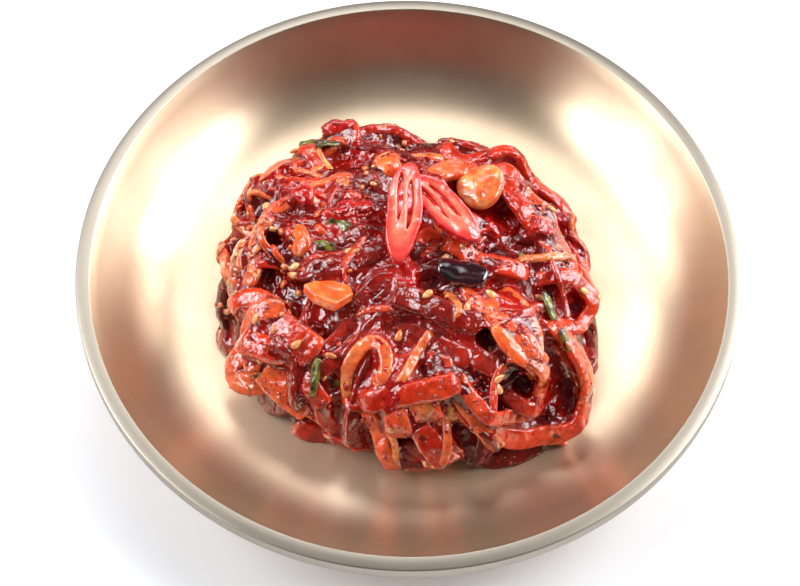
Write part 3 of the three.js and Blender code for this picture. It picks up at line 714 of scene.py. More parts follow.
def stripSweepTree():
    tree, given, output = newShapeTree("strip sweep", {
        "Step": ("Float", 0.001),
        "Corners": ("Int", 16),
        "Squareness": ("Float", 0.65),
        "End rounding": ("Float", 0.0015),
        "Wobble": ("Float", 0.0003),
        "Fine wobble": ("Float", 0.0001),
    })
    curve = wire(tree, "GeometryNodeMeshToCurve", {"Mesh": given["Geometry"]})
    curve = wire(tree, "GeometryNodeCurveSplineType", {"Curve": curve}, spline_type="CATMULL_ROM")
    curve = wire(tree, "GeometryNodeResampleCurve", {"Curve": curve, "Length": given["Step"]}, mode="LENGTH")
    fromStart = wire(tree, "GeometryNodeSplineParameter", output="Length")
    whole = wire(tree, "GeometryNodeSplineLength", output="Length")
    place = wire(tree, "GeometryNodeInputPosition")
    route = storeNamed(curve, "middle", place, "FLOAT_VECTOR")
    route = storeNamed(route, "fromEnd", maths("MINIMUM", fromStart, whole - fromStart))
    feeds = {"Resolution": given["Corners"], "Radius": 1}
    circle = wire(tree, "GeometryNodeCurvePrimitiveCircle", feeds, "Curve", mode="RADIUS")
    ring = storeNamed(circle, "ring", place, "FLOAT_VECTOR")
    skin = wire(tree, "GeometryNodeCurveToMesh", {"Curve": route, "Profile Curve": ring, "Fill Caps": True})

    def squared(value):
        return maths("SIGN", value) * maths("POWER", maths("ABSOLUTE", value), given["Squareness"])

    middle = namedValue(tree, "middle", "FLOAT_VECTOR")
    nearEnd = 1 - maths("DIVIDE", namedValue(tree, "fromEnd"), given["End rounding"], clampIt=True)
    closing = maths("SQRT", maths("MAXIMUM", 1.02 - nearEnd * nearEnd, 0.02))
    moved = vectorMaths("ADD", middle, combined(X=namedValue(tree, "strand")))
    across, up, _ = parted(namedValue(tree, "ring", "FLOAT_VECTOR"))
    ways = []
    for part, half, way, grain, least, most in ((across, "halfWide", "acrossWay", 95, 0.84, 1.12),
                                                (up, "halfThick", "upWay", 170, 0.8, 1.15)):
        uneven = ranged(noise(moved, grain), 0.3, 0.7, least, most)
        reach = squared(part) * namedValue(tree, half) * (uneven * closing)
        ways.append(vectorMaths("SCALE", namedValue(tree, way, "FLOAT_VECTOR"), scale=reach))
    swept = vectorMaths("ADD", middle, vectorMaths("ADD", *ways))
    skin = wire(tree, "GeometryNodeSetPosition", {"Geometry": skin, "Position": swept})
    height = (noise(place, 330) - 0.5) * given["Wobble"] + (noise(place, 1100) - 0.5) * given["Fine wobble"]
    offset = vectorMaths("SCALE", wire(tree, "GeometryNodeInputNormal"), scale=height * 2)
    skin = wire(tree, "GeometryNodeSetPosition", {"Geometry": skin, "Offset": offset})
    closeTree(skin, given["Material"], output)
    return tree


sweepTree = stripSweepTree()


def sweepStrips(name, laidStrips, material, **changes):
    paths = stripPaths(name + " paths", laidStrips)
    applyShapeTree(paths, sweepTree, {**sweep, **changes, "Material": material})
    piece = evaluatedMesh(paths, name)
    for spent in ("acrossWay", "upWay", "halfWide", "halfThick", "ring", "middle"):
        piece.data.attributes.remove(piece.data.attributes[spent])
    faceOutward(piece)
    shadeSmooth(piece)
    return piece


# ---- materials ----

def objectPlace(tree):
    return wire(tree, "ShaderNodeTexCoord", output="Object")


def newMaterial(name):
    material = bpy.data.materials.new(name)
    material.use_nodes = True
    return material, material.node_tree.nodes["Principled BSDF"], objectPlace(material.node_tree)


def attributeValue(tree, name):
    return wire(tree, "ShaderNodeAttribute", output="Fac", attribute_name=name)


def bumpFrom(height, distance):
    return wire(height.tree, "ShaderNodeBump", {"Strength": 1.0, "Distance": distance, "Height": height})


def sauceFilmGroup():
    # A sauce film on food: redder and darker where it pools, flecked with ground chili, and rippled.
    group, given, result = newGroup("ShaderNodeTree", "sauce film", {
        "Colour": ("Color", (0.5, 0.1, 0.05, 1)),
        "Sauce": ("Color", (0.12, 0.006, 0.004, 1)),
        "Pooled": ("Float", 0.4),
        "Flecks": ("Float", 0.3),
        "Gloss low": ("Float", 0.1),
        "Gloss high": ("Float", 0.38),
    }, {"Colour": "Color", "Roughness": "Float", "Height": "Float"})
    place = objectPlace(group)
    pooled = ranged(noise(place, 150, 3, 0.6, 0.8), 0.36, 0.66, smooth=True)
    body = mixColours(pooled * given["Pooled"], given["Colour"], given["Sauce"])
    mottle = ranged(noise(place, 480, 3, 0.6), 0.3, 0.7, 0.72, 1.35)
    grey = wire(group, "ShaderNodeCombineColor", {channel: mottle for channel in range(3)})
    body = mixColours(1.0, body, grey, "MULTIPLY")
    patch = ranged(noise(place, 90, 2), 0.38, 0.6)
    fleck = ranged(noise(place, 1700, 2, 0.5), 0.6, 0.68) * patch * given["Flecks"]
    feed(result["Colour"], mixColours(fleck, body, colour(206, 64, 36)))
    satin = ranged(noise(place, 210, 2, 0.5, 0.5), 0.35, 0.65)
    feed(result["Roughness"], ranged(satin, 0, 1, given["Gloss low"], given["Gloss high"]))
    ripple = noise(place, 210, 1, 0.4, 0.8) * 0.85 + noise(place, 430, 1, 0.4, 0.5) * 0.26
    grains = noise(place, 1500, 1, 0.5) * patch * 0.03 + fleck * 0.03
    feed(result["Height"], ripple + grains)
    return group


filmGroup = sauceFilmGroup()


def wetFood(name, paint, film, ripple, glow, depth, radius, coat=1.0, shine=1.64):
    # Flesh under a clear wet film: most of the gloss is the film's. Glow is how much light goes through it.
    material, shader, place = newMaterial(name)
    filmed = addNode(place.tree, "ShaderNodeGroup", {"Colour": paint(place), **film}, node_tree=filmGroup)
    relief = bumpFrom(Wire(filmed.outputs["Height"]), ripple)
    for key, value in {
        "Base Color": Wire(filmed.outputs["Colour"]), "Roughness": Wire(filmed.outputs["Roughness"]),
        "IOR": 1.4, "Specular IOR Level": 0.22, "Subsurface Weight": glow, "Subsurface Scale": depth,
        "Subsurface Radius": radius, "Coat Weight": coat, "Coat Roughness": 0.045, "Coat IOR": shine,
        "Normal": relief, "Coat Normal": relief,
    }.items():
        feed(shader.inputs[key], value)
    return material


def blotched(low, high, scale, roughness=0.6, distortion=0.0, least=0.35):
    return lambda place: mixColours(
        ranged(noise(place, scale, 3, roughness, distortion), least, 0.62, smooth=True), low, high)


stripLook = {
    "tones": (
        (0.0, colour(96, 16, 11)), (0.2, colour(142, 28, 14)), (0.4, colour(188, 40, 16)),
        (0.55, colour(218, 60, 24)), (0.7, colour(234, 92, 44)), (0.85, colour(238, 120, 64)),
        (1.0, colour(246, 150, 84)),
    ),
    "film": {"Sauce": colour(142, 15, 8), "Pooled": 0.42, "Flecks": 0.5},
}
chiliLook = {
    "rim": colour(222, 28, 32),
    "wall": colour(240, 70, 62),
    "heart": colour(248, 124, 98),
    "film": {"Sauce": colour(142, 15, 8), "Pooled": 0.05, "Flecks": 0.12, "Gloss high": 0.26},
}


def stripPaint(place):
    return ramp(attributeValue(place.tree, "tone") + (noise(place, 70, 2) - 0.5) * 0.7, stripLook["tones"])


def chiliPaint(place):
    # The cut face pales from its skin inward.
    rind = attributeValue(place.tree, "rind") + (noise(place, 420, 3, 0.6, 0.4) - 0.5) * 0.5
    heart, wall, rim = (chiliLook[key] for key in ("heart", "wall", "rim"))
    return ramp(rind, ((0.1, heart), (0.62, wall), (0.9, wall), (0.98, rim)))


def sauceMaterial(name, thin, deep, flecks, coat):
    film = {"Sauce": deep, "Pooled": 0.4, "Flecks": flecks, "Gloss low": 0.08, "Gloss high": 0.3}
    return wetFood(name, blotched(thin, deep, 60), film, 0.0014, 0.3, 0.0016, (1.0, 0.12, 0.06), coat)


# Each: low and high colour, blotch scale, sauce pooled on it, glow, ripple, flecks, gloss and shine.
plainFoods = {
    "chili pulp": ((206, 34, 24), (150, 16, 18), 500, 0.3, 0.4, 0.0008, 0.9),
    "green leaf": ((112, 124, 48), (26, 30, 24), 330, 0.2, 0.2, 0.0005, 0.1),
    "carrot": ((250, 124, 58), (238, 92, 42), 150, 0.14, 0.45, 0.0004, 0.3),
    "garlic": ((252, 172, 98), (238, 102, 48), 170, 0.3, 0.7, 0.0004, 0.4),
    "dark skin": ((16, 8, 14), (34, 10, 18), 200, 0.08, 0.04, 0.00012, 0.05, 0.12, 2.3),
    "sesame": ((250, 192, 122), (236, 134, 74), 340, 0.16, 0.45, 0.0002, 0.2, 0.3),
    "minced garlic": ((248, 176, 112), (228, 100, 50), 420, 0.12, 0.45, 0.0003, 0.3),
    "chili flakes": ((206, 44, 22), (140, 16, 12), 420, 0.2, 0.3, 0.0003, 0.2),
}


def plainFood(name, low, high, scale, pooled, glow, ripple, flecks, glossHigh=0.3, shine=1.64):
    film = {"Sauce": stripLook["film"]["Sauce"], "Pooled": pooled, "Flecks": flecks, "Gloss high": glossHigh}
    paint = blotched(colour(*low), colour(*high), scale, 0.55, 0.3, 0.38)
    return wetFood(name, paint, film, ripple, glow, 0.0018, (1.0, 0.4, 0.2), shine=shine)


bronzeLook = {
    "metal": colour(230, 208, 178),
    "dull": colour(216, 190, 158),
    "polish": (0.29, 0.35),
    "worn": 0.09,  # how much duller the floor is, scoured by use
    "wornMetal": 0.65,
    "wornTo": (52, 66),  # mm from the middle
    "smear": 0.78,  # the turning marks run round, so reflections smear along the radius
    "lip": colour(168, 158, 144),
    "lipDull": 0.1,  # how much duller the turned lip is
    "turning": 0.00001,
}


def bronzeMaterial(look):
    material, shader, place = newMaterial("satin bronze")
    flat = vectorMaths("MULTIPLY", place, (1, 1, 0))
    radius = vectorMaths("LENGTH", flat)
    turned = noise(combined(X=radius * 60, Z=parted(place)[2] * 60), 60, 3, 0.7)
    cloud = noise(place, 38, 3, 0.6, 0.4)
    wornFrom, wornTo = look["wornTo"]
    worn = ranged(radius, wornFrom * mm, wornTo * mm, 1.0, 0.0, smooth=True)
    lipAt = dishForm["lipInnerRadius"]
    onLip = ranged(radius, (lipAt - 0.1) * mm, (lipAt + 0.5) * mm, smooth=True)
    drift = vectorMaths("SCALE", noise(place, 45, 2, output="Color"), scale=0.02)
    feeds = {"Vector": vectorMaths("ADD", place, drift), "Scale": 130}
    scratches = wire(place.tree, "ShaderNodeTexVoronoi", feeds, "Distance", feature="DISTANCE_TO_EDGE")
    line = ranged(scratches, 0.0, 0.012, 1.0, 0.0) * ranged(noise(place, 90, 2), 0.52, 0.6)
    satin = ranged(cloud * 0.5 + turned * 0.5, 0.3, 0.7, *look["polish"])
    body = mixColours(ranged(cloud, 0.3, 0.7), look["metal"], look["dull"])
    for key, value in {
        "Base Color": mixColours(onLip, body, look["lip"]),
        "Roughness": satin + (onLip * look["lipDull"] + worn * look["worn"]),
        "Metallic": ranged(worn, 0, 1, 1.0, look["wornMetal"]),
        "Anisotropic": ranged(onLip, 0, 1, look["smear"], 0),
        "Tangent": vectorMaths("NORMALIZE", flat),
        "Normal": bumpFrom(turned * 0.4 - line * 0.8, look["turning"]),
    }.items():
        feed(shader.inputs[key], value)
    return material


bronze = bronzeMaterial(bronzeLook)
radish = wetFood("sauced radish", stripPaint, stripLook["film"], 0.0012, 0.5, 0.0025, (1.0, 0.3, 0.14))
sauce = sauceMaterial("chili sauce", colour(176, 20, 12), colour(96, 9, 8), 0.45, 1.0)
# The inner strips' material: a sauce colour darker than the sauce elsewhere, with less coat. It is painted
# shade for the hollows where these strips show.
paintedShadeSauce = sauceMaterial("sauce in the hollows", colour(122, 13, 9), colour(64, 7, 6), 0.2, 0.35)
chiliRed = wetFood("fresh chili", chiliPaint, chiliLook["film"], 0.00022, 0.5, 0.0022, (1.0, 0.35, 0.22))
food = {name: plainFood(name, *row) for name, row in plainFoods.items()}
print("materials made")


# ---- the dish ----

def dishProfile(form):
    lipTop, lipDepth = form["height"] - form["lipFall"], form["lipDepth"]
    rim, foot, footHigh = form["rimRadius"], form["footRadius"], form["footHeight"]
    footEdge = foot - form["footWidth"]

    def rounded(x, y, radius, start, end, steps=4):
        turns = (start + (end - start) * i / steps for i in range(steps + 1))
        return [(x + radius * cosine(turn), y + radius * sine(turn)) for turn in turns]

    points = [(0, footHigh), (footEdge - 6, footHigh), (footEdge - 0.9, footHigh - 0.15)]
    points += rounded(footEdge + 0.4, 0.4, 0.4, 180, 270)
    points += rounded(foot - 0.4, 0.4, 0.4, 270, 360)
    points += [(foot + 0.2, footHigh - 0.5), (foot + 0.6, footHigh + 0.2), (foot + 1.6, footHigh + 0.6)]
    points += [wallPoint(slope, -form["wall"]) for slope in np.linspace(floorSlope + 2, 50, 26)]
    points += rounded(rim - 0.5, lipTop - lipDepth + 0.5, 0.5, 285, 360)
    points += rounded(rim - 0.5, lipTop - 0.5, 0.5, 0, 82)
    inner = wallPoint(wallSlope)
    points += rounded(inner[0] + 0.45, inner[1] - 0.42, 0.4, 95, 150)
    points += [wallPoint(slope) for slope in np.linspace(wallSlope - 1.5, floorSlope, form["wallSteps"])]
    points += [(r, floorHeight(r)) for r in np.linspace(floorRadius, 0, 14)[1:]]
    return points


def latheMesh(name, profile, turns):
    rings = profile[1:-1]
    points = [(x * cosine(360 * k / turns) * mm, x * sine(360 * k / turns) * mm, z * mm)
              for x, z in rings for k in range(turns)]
    bottom, high = len(points), (len(rings) - 1) * turns
    points += [(0, 0, profile[0][1] * mm), (0, 0, profile[-1][1] * mm)]
    faces = ringFaces(len(rings), turns, capped=False)
    for k in range(turns):
        faces.append((bottom, (k + 1) % turns, k))
        faces.append((bottom + 1, high + k, high + (k + 1) % turns))
    return makeMesh(name, points, faces)


dish = latheMesh("bronzeDish", dishProfile(dishForm), dishForm["turns"])
faceOutward(dish)
shadeSmooth(dish)
dress(dish, "bronze_dish", bronze)
print("dish turned")


# ---- the heap: strips laid in order ----

def layAll(rows):
    return [(row, layStrip(row)) for row in rows]


inside = layAll(fillRows(fillStrips))
coreMap = list(laid)
around = layAll(skirtRows(skirtStrips))
showing = layAll(topRows(topStrips))
shredded = layAll(flapRows(looseFlaps)) + layAll(shredRows(shreds)) + layAll(shredRows(fineShreds))
print("strips laid", len(inside), len(around), len(showing), len(shredded))


# ---- other pieces mixed in: kind; right and away on the map; heading; length; width; thickness ----

mixedRows = (
    ("carrot", -8, 35, 90, 9, 7.5, 7),
    ("carrot", 6, 42, 10, 11, 4.4, 3.6),
    ("lump", -31.5, 15, -48, 6.4, 5.2, 4.2),
    ("lump", -21, 43.5, 8, 9, 5, 4.4),
    ("garlic", 14, -50, -37, 5.6, 4.6, 3.6),
    ("carrot", -34, 0, -71, 9, 6.6, 3),
    ("carrot", 26, -31, -43, 13, 4, 3),
    ("pulp", -2, -15, -80, 12, 6, 4.4),
    ("pulp", 28, 9, -8, 9, 6.4, 4),
    ("pulp", -19, 12, 0, 9, 6, 3.6),
    ("pulp", 39, 7, 0, 7, 6, 4),
    ("leaf", -26.5, 38.5, -16, 13, 4.8, 2.4),
    ("leaf", -27, 8, -23, 11, 7.4, 1),
    ("leaf", -29, -2, -19, 8.5, 3, 1),
    ("leaf", -22.5, -45, -112, 11, 2.8, 1.6),
    ("leaf", -26, -40, -106, 10, 2.6, 1.6),
    ("leaf", 39, -7, -89, 11, 4.4, 1),
    ("leaf", 41, -17, -78, 8, 3, 1),
    ("leaf", 42, -25, -64, 6, 3, 1),
)
lumpRoughness = {"carrot": 0.35, "garlic": 0.5, "lump": 0.6, "pulp": 1.25}


def lieOnMound(right, away, heading, lift):
    direction = mapDirection(right, away)
    ahead = mapDirection(right + cosine(heading), away + sine(heading))
    along = unit(ahead * moundRadius(ahead) - direction * moundRadius(direction))
    across = unit(np.cross(direction, along))
    centre = direction * (laid[mapCell(direction)] + lift) + moundCentre
    return centre, np.stack((along, across, np.cross(along, across)))


def bumpy(points, scale, amount, seed, middle=None):
    # Moves points out and in from their middle by soft noise; sizes in millimetres.
    middle = np.mean(points, axis=0) if middle is None else np.array(middle)
    shift = Vector((seed * 7.3, seed * 3.1, seed * 1.7))
    moves = [unit(p - middle) * softNoise.noise(Vector(p) / scale + shift) for p in points]
    return points + np.array(moves) * amount


def ballPoints(level):
    ball = bmesh.new()
    bmesh.ops.create_icosphere(ball, subdivisions=level, radius=1)
    points = np.array([v.co[:] for v in ball.verts])
    faces = [[v.index for v in f.verts] for f in ball.faces]
    ball.free()
    return points, faces


def squarish(points, power):
    return np.sign(points) * np.abs(points) ** power


def lumpForm(size, seed, rough):
    points, faces = ballPoints(4)
    points = bumpy(squarish(points, 0.8) * np.array(size) / 2, 2.6, 0.9 * rough, seed)
    return bumpy(points, 0.9, 0.4 * rough, seed + 5), faces


def leafForm(size, seed):
    # A thin leaf: wavy along, curled across, thin at its rim.
    long, wide, _ = size
    rows, columns, points, faces = 26, 11, [], []
    sheet = rows * columns
    for face in (1, -1):
        for i in range(rows):
            along = i / (rows - 1)
            half = wide / 2 * (0.55 + 0.45 * math.sin(math.pi * along) ** 0.3)
            for k in range(columns):
                across = 2 * k / (columns - 1) - 1
                wave = 0.7 * softNoise.noise(Vector((along * 3.2, across * 1.1, seed * 9.1)))
                curl = -0.16 * wide * across * across + 0.3 * wave * wide * 0.4
                thin = 0.28 * math.sqrt(max(0.0, 1 - across ** 4))
                thin *= math.sqrt(max(0.02, math.sin(math.pi * along)))
                y = across * half * (1 + 0.1 * wave)
                points.append(((along - 0.5) * long, y, curl + wave * 0.5 + face * thin))
    for i in range(rows - 1):
        for a in range(i * columns, (i + 1) * columns - 1):
            faces.append((a, a + columns, a + columns + 1, a + 1))
            faces.append((sheet + a, sheet + a + 1, sheet + a + columns + 1, sheet + a + columns))
    rim = list(range(columns)) + [i * columns + columns - 1 for i in range(1, rows)]
    rim += list(range(sheet - 2, sheet - columns - 1, -1)) + [i * columns for i in range(rows - 2, 0, -1)]
    for a, b in zip(rim, rim[1:] + rim[:1]):
        faces.append((a, b, sheet + b, sheet + a))
    return np.array(points), faces


def gather(name, forms, material):
    # Joins forms in millimetres into one piece.
    points, faces = joinedForms(forms)
    piece = makeMesh(name, [p * mm for p in points], faces)
    work = bmesh.new()
    work.from_mesh(piece.data)
    bmesh.ops.remove_doubles(work, verts=work.verts, dist=1e-7)
    bmesh.ops.recalc_face_normals(work, faces=work.faces)
    work.to_mesh(piece.data)
    work.free()
    shadeSmooth(piece)
    piece.data.materials.append(material)
    return piece


def placed(form, spot):
    points, faces = form
    centre, axes = spot
    return centre + np.asarray(points) @ axes, faces


mixed = {kind: [] for kind in ("carrot", "garlic", "lump", "pulp", "leaf")}
draw = Draws(5)
for number, (kind, right, away, heading, *size) in enumerate(mixedRows):
    for _ in range(6 if kind == "leaf" else 18):  # each piece takes as many draws as its solid does
        draw()
    if kind == "leaf":
        mixed[kind].append(placed(leafForm(size, number), lieOnMound(right, away, heading, 0.6)))
    else:
        form = lumpForm(size, number, lumpRoughness[kind])
        mixed[kind].append(placed(form, lieOnMound(right, away, heading, -0.15 * size[2])))

seeds = {"size": (3.2, 1.8, 1.1), "count": 18, "reach": 62, "stray": 5}
seedSpots = []
for k in range(seeds["count"]):
    right, away, _ = spiralPlace(seeds, k)
    seedSpots.append((right + draw.within(seeds["stray"]), away + draw.within(seeds["stray"]), 360 * draw()))
seedSpots += [
    (-30, -31, 20), (-21, -4.5, 10), (-13, 19, 60), (-3, -34, 70), (14, -52, 0), (17, -24, 80),
    (53, 9.6, 100), (-36, -11, 150), (24, -41, 120), (41, -15, 20), (-45, 2, 70), (-43, 14, 40),
]

radishStrips = sweepStrips("radishStrips", around + showing, radish)
# The inner strips show only in the hollows. Their darker sauce colour is painted shade there.
innerStrips = sweepStrips("innerStrips", inside, paintedShadeSauce, Step=0.0018, Corners=10)
radishShreds = sweepStrips("radishShreds", shredded, radish, Step=0.0007, Corners=10, Wobble=0.00022)
carrotBits = gather("carrotBits", mixed["carrot"], food["carrot"])
garlicBits = gather("garlicBits", mixed["garlic"], food["garlic"])
redLumps = gather("redLumps", mixed["lump"], food["chili pulp"])
pulpLumps = gather("pulpLumps", mixed["pulp"], food["chili pulp"])
greenLeaves = gather("greenLeaves", mixed["leaf"], food["green leaf"])
print("pieces shaped", [(o.name, len(o.data.polygons)) for o in (radishStrips, innerStrips, radishShreds)])


# ---- the sauce that fills the creases ----

sauceForm = {
    "voxel": 0.0006, "reach": 0.0013, "bare": -0.0006, "covered": 0.00008, "relief": 0.0001, "coreUnder": 1.0,
    "onDish": 0.5,
}


def coreForm(form, columns=96, rows=52):
    points, faces = [], []
    for polar in (math.pi * i / rows for i in range(1, rows)):
        for turn in (2 * math.pi * k / columns for k in range(columns)):
            flat = math.sin(polar)
            direction = np.array((flat * math.cos(turn), flat * math.sin(turn), math.cos(polar)))
            points.append(direction * (coreMap[mapCell(direction)] - form["coreUnder"]) + moundCentre)
    for i in range(rows - 2):
        for k in range(columns):
            a, b = i * columns + k, i * columns + (k + 1) % columns
            faces.append((a, a + columns, b + columns, b))
    top, low = len(points), (rows - 2) * columns
    points.append(np.array((0, 0, coreMap[mapCell(np.array((0, 0, 1.0)))] - form["coreUnder"])) + moundCentre)
    points.append(np.array((0, 0, -coreMap[mapCell(np.array((0, 0, -1.0)))])) + moundCentre)
    for k in range(columns):
        faces.append((top, k, (k + 1) % columns))
        faces.append((top + 1, low + (k + 1) % columns, low + k))
    for p in points:  # the core stops at the dish
        p[2] = max(p[2], floorHeight(math.hypot(p[0], p[1])) + form["onDish"])
    return points, faces


def remeshed(piece, name, voxel, offsets, smooth):
    for offset in offsets:
        if offset:
            move = piece.modifiers.new("move", "DISPLACE")
            move.strength, move.mid_level = offset, 0
        cells = piece.modifiers.new("cells", "REMESH")
        cells.mode, cells.voxel_size = "VOXEL", voxel
    soften = piece.modifiers.new("soften", "SMOOTH")
    soften.factor, soften.iterations = 0.5, smooth
    return evaluatedMesh(piece, name)


def closeCreases(form):
    core = gather("core", [coreForm(form)], sauce)
    pieces = (radishStrips, innerStrips, radishShreds, carrotBits, garlicBits, redLumps, pulpLumps, core)
    whole = makeMesh("whole", *joinedForms(formOf(piece.data) for piece in pieces))
    bpy.data.objects.remove(core)
    return remeshed(whole, "skin", form["voxel"], (0, form["reach"], -form["reach"]), 2)


skin = closeCreases(sauceForm)
print("creases closed", len(skin.data.polygons))


def sauceFrom(surface, form):
    # The closed skin, drawn in where strips lie bare, over them where it pools, and lumpy with pulp.
    work = bmesh.new()
    work.from_mesh(surface.data)
    work.normal_update()
    moves = []
    for place in (vertex.co / mm for vertex in work.verts):
        high = clamp((place.z - 30) / 12, 0, 1)
        wet = 0.36 + 0.3 * high + 1.4 * softNoise.noise(place * 0.13) + 0.6 * softNoise.noise(place * 0.36)
        lumps = softNoise.noise(place * 0.5) + 0.5 * softNoise.noise(place * 1.2)
        rise = form["bare"] + (form["covered"] - form["bare"]) * clamp(wet, 0, 1)
        moves.append(rise + form["relief"] * lumps)
    for vertex, move in zip(work.verts, moves):
        vertex.co += vertex.normal * move
    mesh = bpy.data.meshes.new("sauceInCreases")
    work.to_mesh(mesh)
    work.free()
    piece = addObject("sauceInCreases", mesh)
    shadeSmooth(piece)
    mesh.materials.append(sauce)
    return piece


sauceInCreases = sauceFrom(skin, sauceForm)


# ---- seeds, ground chili and minced garlic, scattered over the skin ----

def seedForm(size):
    # A sesame seed: a flat drop.
    points, faces = ballPoints(2)
    points = points * np.array(size) / 2
    taper = 1 - 0.32 * np.clip(points[:, 0] / (size[0] / 2), -1, 1)
    points[:, 1] *= taper
    points[:, 2] *= 0.6 + 0.4 * taper
    return points, faces


seedForms = [placed(seedForm(seeds["size"]), lieOnMound(*spot, 0.2)) for spot in seedSpots]
sesameSeeds = gather("sesameSeeds", seedForms, food["sesame"])


def scatterTree():
    tree, given, output = newShapeTree("scatter", {
        "Grain": ("Object", None),
        "Per square metre": ("Float", 1000.0),
        "Seed": ("Int", 1),
        "Smallest": ("Float", 0.5),
        "Largest": ("Float", 1.0),
        "Patchiness": ("Float", 0.5),
        "Patch scale": ("Float", 60.0),
        "Lean": ("Vector", (0.0, 0.0, 0.0)),
    })
    place = wire(tree, "GeometryNodeInputPosition")
    patch = ranged(noise(place, given["Patch scale"], 2), given["Patchiness"], given["Patchiness"] + 0.08)
    leaning = vectorMaths("DOT_PRODUCT", place, given["Lean"])
    density = given["Per square metre"] * (patch * ranged(leaning, -0.9, 2, 0.1, 3))
    spread = addNode(tree, "GeometryNodeDistributePointsOnFaces", {
        "Mesh": given["Geometry"], "Density": density, "Seed": given["Seed"]}, distribute_method="RANDOM")
    grain = wire(tree, "GeometryNodeObjectInfo", {"Object": given["Grain"]}, "Geometry")
    feeds = {3: 2 * math.pi, "Seed": given["Seed"]}
    turn = wire(tree, "FunctionNodeRandomValue", feeds, 1, data_type="FLOAT")
    spin = wire(tree, "FunctionNodeEulerToRotation", {0: combined(Z=turn)})
    rotation = wire(tree, "FunctionNodeRotateRotation", {
        "Rotation": Wire(spread.outputs["Rotation"]), "Rotate By": spin}, rotation_space="LOCAL")
    size = wire(tree, "FunctionNodeRandomValue", {
        2: given["Smallest"], 3: given["Largest"], "Seed": given["Seed"] + 7}, 1, data_type="FLOAT")
    copies = wire(tree, "GeometryNodeInstanceOnPoints", {
        "Points": Wire(spread.outputs["Points"]), "Instance": grain, "Rotation": rotation, "Scale": size})
    closeTree(copies, given["Material"], output)
    return tree


scatter = scatterTree()
# Each: size of a grain in millimetres, roughness, squareness, and how it is scattered.
grainKinds = {
    "chiliFlakes": ((2.0, 1.3, 0.3), 0.8, 0.6, {
        "Per square metre": 40000.0, "Seed": 11, "Smallest": 0.45, "Largest": 1.15, "Patchiness": 0.42,
        "Patch scale": 70.0, "Lean": (0.0, 0.0, 0.0), "Material": food["chili flakes"]}),
    "pulpGrains": ((1.2, 0.9, 0.45), 0.9, 0.85, {
        "Per square metre": 230000.0, "Seed": 23, "Smallest": 0.3, "Largest": 1.1, "Patchiness": 0.48,
        "Patch scale": 55.0, "Lean": (0.0, 0.0, 8.0), "Material": food["chili pulp"]}),
    "garlicGrains": ((2.1, 1.5, 0.7), 0.7, 0.7, {
        "Per square metre": 16000.0, "Seed": 37, "Smallest": 0.4, "Largest": 1.25, "Patchiness": 0.47,
        "Patch scale": 60.0, "Lean": (-34.0, 30.0, 0.0), "Material": food["minced garlic"]}),
}


def scatterGrains(name, size, rough, power, values):
    points, faces = ballPoints(1)
    points = bumpy(squarish(points, power) * np.array(size) / 2, 0.7, 0.3 * rough, values["Seed"])
    grain = makeMesh(name + " grain", points * mm, faces)
    shadeSmooth(grain)
    ground = addObject(name, skin.data.copy())
    applyShapeTree(ground, scatter, {**values, "Grain": grain})
    piece = evaluatedMesh(ground, name)
    bpy.data.objects.remove(grain)
    shadeSmooth(piece)
    return piece


def keepOutOfDish(piece, gap=0.25, within=80):
    for vertex in piece.data.vertices:
        radius = math.hypot(vertex.co.x, vertex.co.y) / mm
        if radius < within:
            vertex.co.z = max(vertex.co.z, (floorHeight(radius) + gap) * mm)
    piece.data.update()


scattered = [scatterGrains(name, *kind) for name, kind in grainKinds.items()]
bpy.data.objects.remove(skin)
print("scattered", [(o.name, len(o.data.polygons)) for o in scattered])

heapPieces = [radishStrips, innerStrips, radishShreds, carrotBits, garlicBits, redLumps, pulpLumps]
for piece in heapPieces + [greenLeaves, sauceInCreases, sesameSeeds] + scattered:
    keepOutOfDish(piece)
    dress(piece, "kimchi_heap")
print("heap done")


# ---- toppings ----
# Each is placed by its middle in millimetres, then turned: heading, pitch with the front end up, and roll.

toppingForms = {
    "redChiliSlice1": {"place": (-1.5, 2.2, 49.2), "turn": (-95, -5, 0), "size": (28, 8.9, 3)},
    "redChiliSlice2": {"place": (8.6, 4.4, 47), "turn": (-44, -10, 0), "size": (23.5, 9, 3)},
    "carrotSlice": {"place": (-20, -18, 41.5), "turn": (-5, -6, -22), "size": (12.4, 9.6, 2.8)},
    "garlicSlice": {"place": (17.9, 15.4, 40.1), "turn": (60, 12, -14), "size": (12.6, 12.4, 4)},
    "darkPiece": {"place": (13, -11.4, 42), "turn": (-8, -8, -6), "size": (13.2, 7.8, 3.8)},
}
chiliBend = 48


def addTopping(name, node, points, faces, material, rind=None):
    form = toppingForms[name]
    heading, pitch, roll = (math.radians(v) for v in form["turn"])
    turned = Matrix.Rotation(heading, 3, "Z") @ Matrix.Rotation(-pitch, 3, "Y")
    turned = turned @ Matrix.Rotation(roll, 3, "X")
    points = np.asarray(points) @ np.array(turned).T + np.array(form["place"])
    piece = makeMesh(name, points * mm, faces)
    if rind is not None:
        storeValues(piece.data, "rind", "FLOAT", rind)
    faceOutward(piece)
    shadeSmooth(piece)
    dress(piece, node, material)


def plate(outlines, thick, bevel, voxel):
    # A flat outline with holes, given its thickness and round edges, as an even fine mesh in millimetres.
    curve = bpy.data.curves.new("outline", "CURVE")
    curve.dimensions, curve.fill_mode = "2D", "BOTH"
    curve.extrude, curve.bevel_depth, curve.bevel_resolution = (thick / 2 - bevel) * mm, bevel * mm, 3
    curve.offset = -bevel * mm
    for outline in outlines:
        spline = curve.splines.new("POLY")
        spline.points.add(len(outline) - 1)
        for point, (x, y) in zip(spline.points, outline):
            point.co = (x * mm, y * mm, 0, 1)
        spline.use_cyclic_u = True
    solid = remeshed(evaluatedMesh(addObject("outline", curve), "plate"), "plate", voxel * mm, (0,), 3)
    points, faces = formOf(solid.data)
    bpy.data.objects.remove(solid)
    return points / mm, faces


